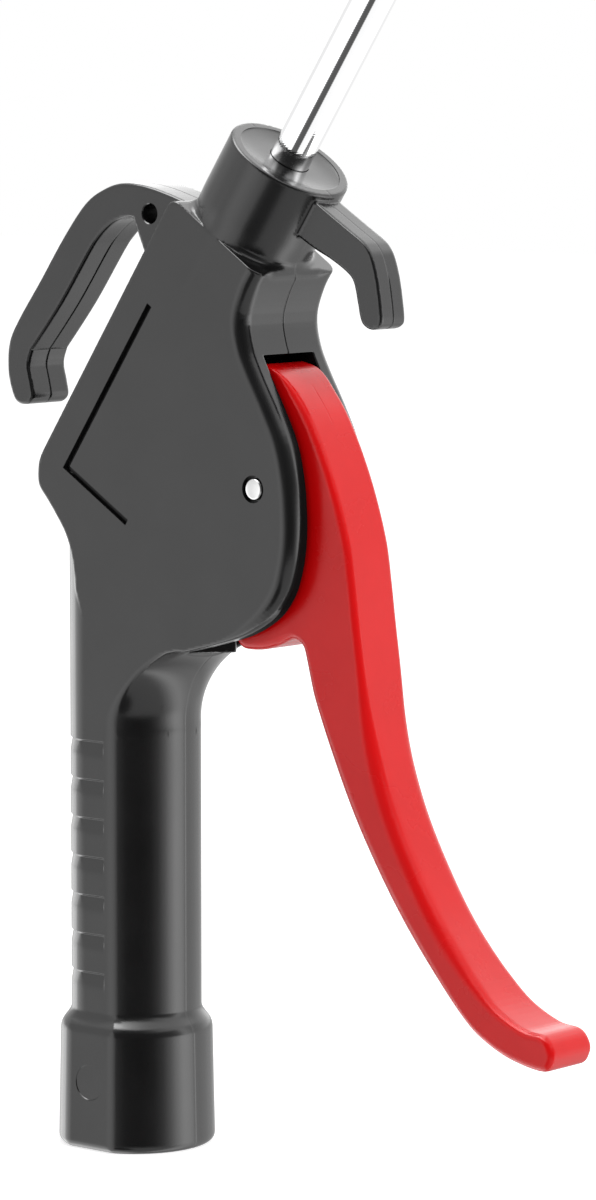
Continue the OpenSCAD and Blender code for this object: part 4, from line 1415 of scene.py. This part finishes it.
@dataclass
class Valve:
    """The valve on its axis behind the lever: spring, poppet, stem, seat, cage, packing and gland nut.

    A name in x is a place along that axis, forward from the handle's, one in r a radius and one in l a length.
    """

    spring_x: float = -6.5
    spring_l: float = 7.25
    spring_r: float = 3.05
    wire_d: float = 0.7
    turns: float = 5.0
    closed: float = 0.8
    closed_rise: float = 0.74
    travel: float = 3.25
    chamber_r: float = 4.0
    stem_r: float = 1.5
    stem_x: float = 20.0
    flange_r: float = 2.2
    nut_r: float = 2.35
    nut_l: float = 1.0
    cup_x: float = 0.75
    cup_r: float = 3.4
    cup_lip: float = 0.25
    spigot_r: float = 2.6
    seal_x: float = 2.75
    seal_r: float = 3.52
    seal_l: float = 1.1
    seat_x: float = 3.9
    seat_r: float = 4.72
    seat_l: float = 2.57
    way_r: float = 2.5
    cage_x: float = 6.5
    cage_l: float = 3.07
    cage_in: Pair = (3.4, 2.2)
    port_r: float = 0.95
    gland_x: float = 9.6
    gland_r: float = 5.47
    gland_l: float = 6.6
    guide_r: float = 1.58
    pocket_r: float = 2.9
    groove_w: float = 0.92
    groove_deep: float = 0.89
    groove_wire: float = 0.83
    groove_sink: float = 0.43

    def poppet(self) -> list[Turned]:
        """Lists the pieces that slide with the stem."""
        r, bore, cup, seal, seat = self.stem_r, self.stem_r + FIT, self.cup_x, self.seal_x, self.seat_x - 0.05
        rim, spigot, disc = self.cup_r, self.spigot_r, self.seal_r
        return [
            Turned("push_stem", "valve_stem", Slot.STEM, [
                (0, cup - self.nut_l), (r, cup - self.nut_l), (r, seat), (self.flange_r, seat),
                (self.flange_r, seat + 0.6), (r, seat + 0.6), (r, self.stem_x), (0, self.stem_x)], "stem", 0.35),
            Turned("spring_cup", "poppet_cup", Slot.BRASS, [
                (bore, cup), (spigot, cup), (spigot, cup + self.cup_lip), (rim, cup + self.cup_lip), (rim, seal),
                (bore, seal)], "stem"),
            Turned("seal_disc", "poppet_seal", Slot.SEAL, [
                (bore, seal), (disc, seal), (disc, seal + self.seal_l), (bore, seal + self.seal_l)], "stem", 0.2)]

    def fixed(self) -> list[Turned]:
        """Lists the turned pieces that stay in the body."""
        r, seat, gland, guide = self.seat_r, self.seat_x, self.gland_x, self.guide_r
        washer = self.pocket_r - FIT
        return [
            Turned("seat_ring", "valve_seat", Slot.BRASS, [
                (self.way_r, seat), (2.85, seat), (3.15, seat + 0.2), (r, seat + 0.2),
                *self._ring_groove(r, seat + 0.84), (r, seat + self.seat_l), (self.way_r, seat + self.seat_l)]),
            self._packing("seat_packing", "seat_oring", r, seat + 0.84),
            Turned("stem_backing", "stem_washer", Slot.BRASS, [
                (guide, gland), (washer, gland), (washer, gland + 0.5), (guide, gland + 0.5)], bevel=0.08),
            Turned("stem_packing", "stem_oring", Slot.SEAL, wire_ring(2.21, 1.23, gland + 1.16), bevel=0),
            self._packing("gland_packing", "gland_oring", self.gland_r, gland + 0.74)]

    def _ring_groove(self, r: float, start: float) -> list[Pair]:
        """Draws a sealing ring's groove into a piece of radius r, from a height on."""
        floor, end = r - self.groove_deep, start + self.groove_w
        return [(r, start), (floor, start), (floor, end), (r, end)]

    def _packing(self, name: str, node: str, r: float, start: float) -> Turned:
        """Gives the sealing ring that lies in such a groove."""
        ring = wire_ring(r - self.groove_sink, self.groove_wire, start + self.groove_w / 2)
        return Turned(name, node, Slot.SEAL, ring, bevel=0)

    def build(self, paint: Paintbox) -> list[bpy.types.Object]:
        """Builds the valve.

        Args:
            paint: the finishes.

        Returns:
            Its pieces.
        """
        made = [piece.build(paint, GUN.valve_matrix) for piece in (*self.poppet(), *self.fixed())]
        return made + [self._nut(paint), self._cage(paint), self._gland(paint), self._spring(paint)]

    def _round_cut(self, name: str, r: float, low: float, high: float, matrix: Matrix) -> bpy.types.Object:
        """Makes a round cutter of radius r between two heights."""
        return to_object(name, *spun([(0, low), (r, low), (r, high), (0, high)], 48), matrix)

    def _nut(self, paint: Paintbox) -> bpy.types.Object:
        """Builds the six-sided nut on the stem's tail."""
        low, high, r = self.cup_x - self.nut_l, self.cup_x, self.nut_r
        profile = [(0, low), (r - 0.25, low), (r, low + 0.15), (r, high - 0.15), (r - 0.25, high), (0, high)]
        hole = self._round_cut("cut_nut", self.stem_r + FIT, low - 1, high + 1, GUN.valve_matrix)
        nut = Turned("stem_nut", "poppet_nut", Slot.BRASS, profile, "stem", 0)
        return nut.build(paint, GUN.valve_matrix, [hole], 6)

    def _cage(self, paint: Paintbox) -> bpy.types.Object:
        """Builds the cage with its four air ports."""
        low, top, floor = self.cage_x, self.cage_x + self.cage_l, self.cage_x + 2.5
        wide, narrow = self.cage_in
        profile = [(wide, low), (self.seat_r, low), (self.seat_r, top), (narrow, top), (narrow, floor), (wide, floor)]
        ports = []
        for i, turn in enumerate((0, 90)):
            across = (GUN.valve_matrix @ Matrix.Translation((0, 0, low + 1.25))
                      @ Matrix.Rotation(math.radians(turn), 4, "Z") @ Matrix.Rotation(math.radians(90), 4, "X"))
            ports.append(self._round_cut(f"cut_port_{i}", self.port_r, -6, 6, across))
        return Turned("port_cage", "valve_cage", Slot.CAGE, profile).build(paint, GUN.valve_matrix, ports)

    def _gland(self, paint: Paintbox) -> bpy.types.Object:
        """Builds the gland nut with its screwdriver slot."""
        low, high, r, pocket = self.gland_x, self.gland_x + self.gland_l, self.gland_r, self.pocket_r
        profile = [(pocket, low + FIT), (r, low + FIT), *self._ring_groove(r, low + 0.74), (r, high),
                   (self.guide_r, high), (self.guide_r, low + 2), (pocket, low + 2)]
        w, deep = 0.7, 1.0
        corners = [(x, y, z) for z in (high - deep, high + 1) for x, y in ((-w, -7), (w, -7), (w, 7), (-w, 7))]
        sides = [[3, 2, 1, 0], [4, 5, 6, 7], [0, 1, 5, 4], [1, 2, 6, 5], [2, 3, 7, 6], [3, 0, 4, 7]]
        slot = to_object("cut_key", corners, sides, GUN.valve_matrix)
        return Turned("gland_cap", "gland_nut", Slot.BRASS, profile, bevel=0.2).build(paint, GUN.valve_matrix, [slot])

    def _spring(self, paint: Paintbox) -> bpy.types.Object:
        """Builds the coil spring with closed ends."""
        sides, per_turn = 12, 36
        count = round(self.turns * per_turn)
        share = np.arange(count + 1) / per_turn
        wire, flat = self.wire_d / 2, self.closed_rise
        run = self.spring_l - self.wire_d - 2 * FIT
        free = self.turns - 2 * self.closed
        slope = (run - 2 * self.closed * flat) / free
        height = (flat * np.minimum(share, self.closed) + slope * np.clip(share - self.closed, 0, free)
                  + flat * np.maximum(share - self.turns + self.closed, 0))
        around = 2 * math.pi * share[:, None]
        tube = 2 * math.pi * np.arange(sides)[None, :] / sides
        r = self.spring_r + wire * np.cos(tube)
        z = self.spring_x + wire + FIT + height[:, None] + wire * np.sin(tube)
        points = np.stack([r * np.cos(around), r * np.sin(around), z], 2).reshape(-1, 3)
        faces = [[i * sides + k, i * sides + (k + 1) % sides, (i + 1) * sides + (k + 1) % sides, (i + 1) * sides + k]
                 for i in range(count) for k in range(sides)]
        faces += [list(range(sides)), list(range(count * sides, (count + 1) * sides))]
        obj = to_object("coil_spring", points, faces, GUN.valve_matrix)
        face_out(obj)
        smoothed(obj, 50)
        paint.dress(obj, Slot.SPRING)
        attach(obj, "housing")
        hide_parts("valve_spring")
        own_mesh(obj)
        return obj


@dataclass
class Bush:
    """The brass bush in the collar and the ring that seals the tube in it; heights run from the shoulder."""

    r: float = 5.6
    bore_r: float = 2.98
    low: float = -8.0
    high: float = 5.5
    anchor: float = 0.6
    anchor_w: float = 2.4
    ring_z: float = 2.2
    ring_d: float = 1.06

    def build(self, paint: Paintbox) -> list[bpy.types.Object]:
        """Builds the bush and its ring.

        Args:
            paint: the finishes.

        Returns:
            Both pieces.
        """
        r, bore, low, w = self.r, self.bore_r, self.low, self.anchor_w
        inner, seat, over = r - self.anchor, bore + self.ring_d + FIT, self.ring_z + self.ring_d + 2 * FIT
        profile = [(bore, low), (r, low), (r, low + w), (inner, low + w), (inner, low + 2 * w), (r, low + 2 * w),
                   (r, self.high), (bore, self.high), (bore, over), (seat, over), (seat, self.ring_z),
                   (bore, self.ring_z)]
        place = GUN.nozzle_matrix()
        ring = wire_ring(bore + self.ring_d / 2, self.ring_d - FIT, self.ring_z + self.ring_d / 2 + FIT)
        return [Turned("collar_bush", "nozzle_insert", Slot.BRASS, profile).build(paint, place),
                Turned("tube_ring", "nozzle_oring", Slot.SEAL, ring, bevel=0).build(paint, place)]


# The studio

@dataclass(frozen=True)
class Band:
    """A level of the studio as reflections see it, in degrees.

    It takes over from the level below between the heights start and full, and its stops give the brightness by the
    angle round from the camera, to the right.
    """

    name: str
    start: float
    full: float
    stops: Sequence[Pair]


@dataclass(frozen=True)
class Lamp:
    """A square soft lamp: its angles from the camera in degrees, its distance and side in metres, and its power."""

    name: str
    around: float
    above: float
    far: float
    side: float
    watts: float


@dataclass
class Studio:
    """Floor, world, lamps and camera.

    The camera's angles and its distance come from the photograph: base_scale is its pixels for each millimetre at the
    base, and origin_px is where the centre of the inlet face lies in it.
    """

    azimuth: float = math.radians(40)
    elevation: float = math.radians(6.2)
    focal_px: float = 5000.0
    base_scale: float = 6.108
    photo: tuple[int, int] = (596, 1200)
    origin_px: Pair = (137.3, 1138.8)
    fill: float = 0.44
    floor_glow: float = 0.75
    peak: float = 16.0
    table_gap: Pair = (-25, -37)
    table_dark: float = 0.1
    gap_reach: Pair = (18, 12)
    floor_reach: float = 3000.0
    bands: Sequence[Band] = (
        Band("table", -90, -89, (
            (-180, 0.85), (-165, 1.0), (-148, 3.0), (-120, 4.0), (-90, 2.6), (-60, 2.0), (-45, 1.6),
            (-25, 1.0), (50, 1.05), (66, 2.1), (76, 3.2), (88, 3.4), (100, 2.4), (115, 1.6), (128, 1.3),
            (140, 0.9), (180, 0.84))),
        Band("low wall", -21.5, -18.5, (
            (-180, 0.85), (-165, 0.9), (-150, 2.3), (-130, 3.1), (-112, 2.8), (-98, 2.3), (-85, 1.48), (-66, 2.2),
            (-55, 1.95), (-42, 1.2), (-28, 0.33), (-14, 0.09), (8, 0.05), (25, 0.12), (40, 0.5), (52, 1.5), (64, 3.2),
            (75, 4.5), (86, 3.9), (95, 2.8), (100, 1.9), (114, 1.6), (130, 1.3), (150, 0.9), (180, 0.85))),
        Band("wall", -4, 5, (
            (-180, 2.4), (-167, 0.86), (-130, 0.88), (-112, 1.2), (-82, 1.4), (-55, 2.0), (-45, 1.0), (-35, 0.2),
            (0, 0.1), (30, 0.15), (45, 0.3), (58, 0.45), (68, 0.9), (80, 3.0), (98, 1.7), (115, 1.6), (130, 1.7),
            (160, 2.0), (180, 2.4))),
        Band("ceiling", 28, 40, (
            (-180, 1.7), (-120, 1.6), (-85, 1.8), (-50, 1.0), (-20, 0.2), (7, 0.3), (25, 0.6), (45, 1.6), (70, 2.2),
            (120, 2.6), (150, 2.4), (180, 1.9))),
        Band("softbox", 50, 60, (
            (-180, 4.5), (-165, 6.5), (-145, 9.0), (-110, 12.0), (-50, 10.0), (-28, 6.0), (-8, 4.2),
            (20, 2.8), (50, 2.4), (90, 2.5), (140, 2.7), (180, 4.5))),
        Band("zenith", 76, 84, ((-180, 5.0), (180, 5.0))))
    lamps: Sequence[Lamp] = (Lamp("key_softbox", 42, 32, 1.2, 0.6, 6.5), Lamp("top_softbox", 150, 70, 1.2, 0.9, 3.0))
    lamp_aim: tuple[float, float, float] = (0.01, 0, 0.1)

    def build(self) -> None:
        """Builds the whole studio."""
        bpy.context.scene.view_settings.view_transform = "Standard"
        self._camera()
        self._floor()
        self._world()
        self._lamps()

    @property
    def back(self) -> Vector:
        """Direction from the object to the camera."""
        return self.direction(0, math.degrees(self.elevation))

    def _camera(self) -> None:
        """Puts the camera where the photograph was taken."""
        turn = (-self.back).to_track_quat("-Z", "Y")
        right, up = turn @ Vector((1, 0, 0)), turn @ Vector((0, 1, 0))
        depth = self.focal_px / self.base_scale
        dx = (self.origin_px[0] - self.photo[0] / 2) / self.base_scale
        dy = (self.photo[1] / 2 - self.origin_px[1]) / self.base_scale
        data = bpy.data.cameras.new("camera")
        data.sensor_width = 36
        data.lens = data.sensor_width * self.focal_px / max(self.photo)
        data.clip_start, data.clip_end = 0.05, 20
        cam = bpy.data.objects.new("camera", data)
        cam.rotation_mode = "QUATERNION"
        cam.rotation_quaternion = turn
        cam.location = (self.back * depth - right * dx - up * dy) * MM
        bpy.context.scene.collection.objects.link(cam)
        bpy.context.scene.camera = cam

    def _floor(self) -> None:
        """Lays the pale floor under the base."""
        far = self.floor_reach
        floor = to_object("floor", [(-far, -far, 0), (far, -far, 0), (far, far, 0), (-far, far, 0)], [(0, 1, 2, 3)])
        floor.visible_glossy = False
        material = bpy.data.materials.new("floor")
        material.use_nodes = True
        bench = NodeBench(material.node_tree)
        bench.tree.nodes.clear()
        light = bench.add("ShaderNodeLightPath")
        direct = bench.mathed("MAXIMUM", light.outputs["Is Camera Ray"], light.outputs["Is Transmission Ray"])
        matte = bench.add("ShaderNodeBsdfDiffuse", Color=(0.8, 0.8, 0.8, 1))
        glow = bench.add("ShaderNodeEmission", Color=(1, 1, 1, 1))
        strength = bench.mathed("MULTIPLY", direct, self.floor_glow)
        bench.tree.links.new(strength, glow.inputs["Strength"])
        both = bench.add("ShaderNodeAddShader", in_0=matte.outputs[0], in_1=glow.outputs[0])
        bench.add("ShaderNodeOutputMaterial", Surface=both.outputs[0])
        floor.data.materials.append(material)

    def _world(self) -> None:
        """Paints the studio round the gun: the bands in reflections, plain white behind, and an even fill light."""
        world = bpy.data.worlds.new("studio")
        bpy.context.scene.world = world
        world.use_nodes = True
        bench = NodeBench(world.node_tree)
        bench.tree.nodes.clear()
        way = bench.add("ShaderNodeTexCoord").outputs["Generated"]
        ahead, right = (self._dot(bench, way, self.direction(turn, 0)) for turn in (0, 90))
        turn = bench.mathed("ARCTAN2", right, ahead)
        share = bench.mathed("MULTIPLY_ADD", turn, 0.5 / math.pi, 0.5)
        height = bench.add("ShaderNodeSeparateXYZ", Vector=way).outputs["Z"]
        shine = None
        for band in self.bands:
            level = self._ramp(bench, share, [(0.5 + turn / 360, light / self.peak) for turn, light in band.stops])
            if shine is None:
                shine = self._gapped(bench, way, level)
            else:
                start, full = math.sin(math.radians(band.start)), math.sin(math.radians(band.full))
                rise = bench.add("ShaderNodeMapRange", Value=height, From_Min=start, From_Max=full,
                                 interpolation_type="SMOOTHSTEP").outputs[0]
                shine = bench.add("ShaderNodeMix", data_type="FLOAT", in_0=rise, in_2=shine, in_3=level).outputs[0]
        shine = bench.mathed("MULTIPLY", shine, self.peak)
        light = bench.add("ShaderNodeLightPath")
        soft = bench.mathed("MULTIPLY_ADD", light.outputs["Is Glossy Ray"], bench.mathed("SUBTRACT", shine, self.fill),
                            self.fill)
        plain = bench.mathed("MAXIMUM", light.outputs["Is Camera Ray"], light.outputs["Is Transmission Ray"])
        strength = bench.mathed("ADD", bench.mathed("MULTIPLY", soft, bench.mathed("SUBTRACT", 1.0, plain)), plain)
        glow = bench.add("ShaderNodeBackground", Color=(1, 1, 1, 1), Strength=strength)
        bench.add("ShaderNodeOutputWorld", Surface=glow.outputs[0])

    def _gapped(self, bench: NodeBench, way: bpy.types.NodeSocket, level: bpy.types.NodeSocket,
                ) -> bpy.types.NodeSocket:
        """Darkens a round patch of a level.

        Args:
            bench: where the nodes go.
            way: the direction looked in.
            level: the brightness before.

        Returns:
            The brightness after.
        """
        near = self._dot(bench, way, self.direction(*self.table_gap))
        outer, inner = (math.cos(math.radians(turn)) for turn in self.gap_reach)
        keep = bench.add("ShaderNodeMapRange", Value=near, From_Min=outer, From_Max=inner, To_Min=1.0,
                         To_Max=self.table_dark, interpolation_type="SMOOTHSTEP").outputs[0]
        return bench.mathed("MULTIPLY", level, keep)

    def direction(self, around: float, above: float) -> Vector:
        """Gives a direction by its angles round from the camera, to its right, and above the floor, in degrees."""
        a, e = self.azimuth + math.radians(around), math.radians(above)
        return Vector((math.sin(a) * math.cos(e), -math.cos(a) * math.cos(e), math.sin(e)))

    def _dot(self, bench: NodeBench, way: bpy.types.NodeSocket, direction: Vector) -> bpy.types.NodeSocket:
        """Adds the share of a way that goes in a direction."""
        return bench.add("ShaderNodeVectorMath", operation="DOT_PRODUCT", in_0=way, in_1=tuple(direction),
                         ).outputs["Value"]

    def _ramp(self, bench: NodeBench, value: bpy.types.NodeSocket, stops: Sequence[Pair]) -> bpy.types.NodeSocket:
        """Adds a ramp of brightness through stops of (place, share of the brightest)."""
        node = bench.add("ShaderNodeValToRGB", Fac=value)
        ramp = node.color_ramp
        ramp.interpolation = "EASE"
        while len(ramp.elements) < len(stops):
            ramp.elements.new(0.5)
        for element, (place, light) in zip(ramp.elements, sorted(stops)):
            element.position = place
            element.color = (light, light, light, 1)
        return node.outputs["Color"]

    def _lamps(self) -> None:
        """Hangs the soft lamps, which light the matt colours and cast the shadow."""
        for lamp in self.lamps:
            way = self.direction(lamp.around, lamp.above)
            data = bpy.data.lights.new(lamp.name, "AREA")
            data.shape = "SQUARE"
            data.size = lamp.side
            data.energy = lamp.watts
            obj = bpy.data.objects.new(lamp.name, data)
            obj.location = Vector(self.lamp_aim) + way * lamp.far
            obj.rotation_mode = "QUATERNION"
            obj.rotation_quaternion = way.to_track_quat("Z", "Y")
            obj.visible_glossy = False
            bpy.context.scene.collection.objects.link(obj)


def main() -> None:
    """Builds the gun round its frame, piece by piece."""
    logging.basicConfig(level=logging.INFO, format="%(name)s %(message)s")
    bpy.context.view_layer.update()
    paint = Paintbox()
    for part in (Body(), Lever(), Nozzle(), CrossPin()):
        report_piece(part.build(paint))
    for group in (Inlet(), Valve(), Bush()):
        for obj in group.build(paint):
            report_piece(obj)
    Studio().build()


if __name__ == "__main__":
    main()
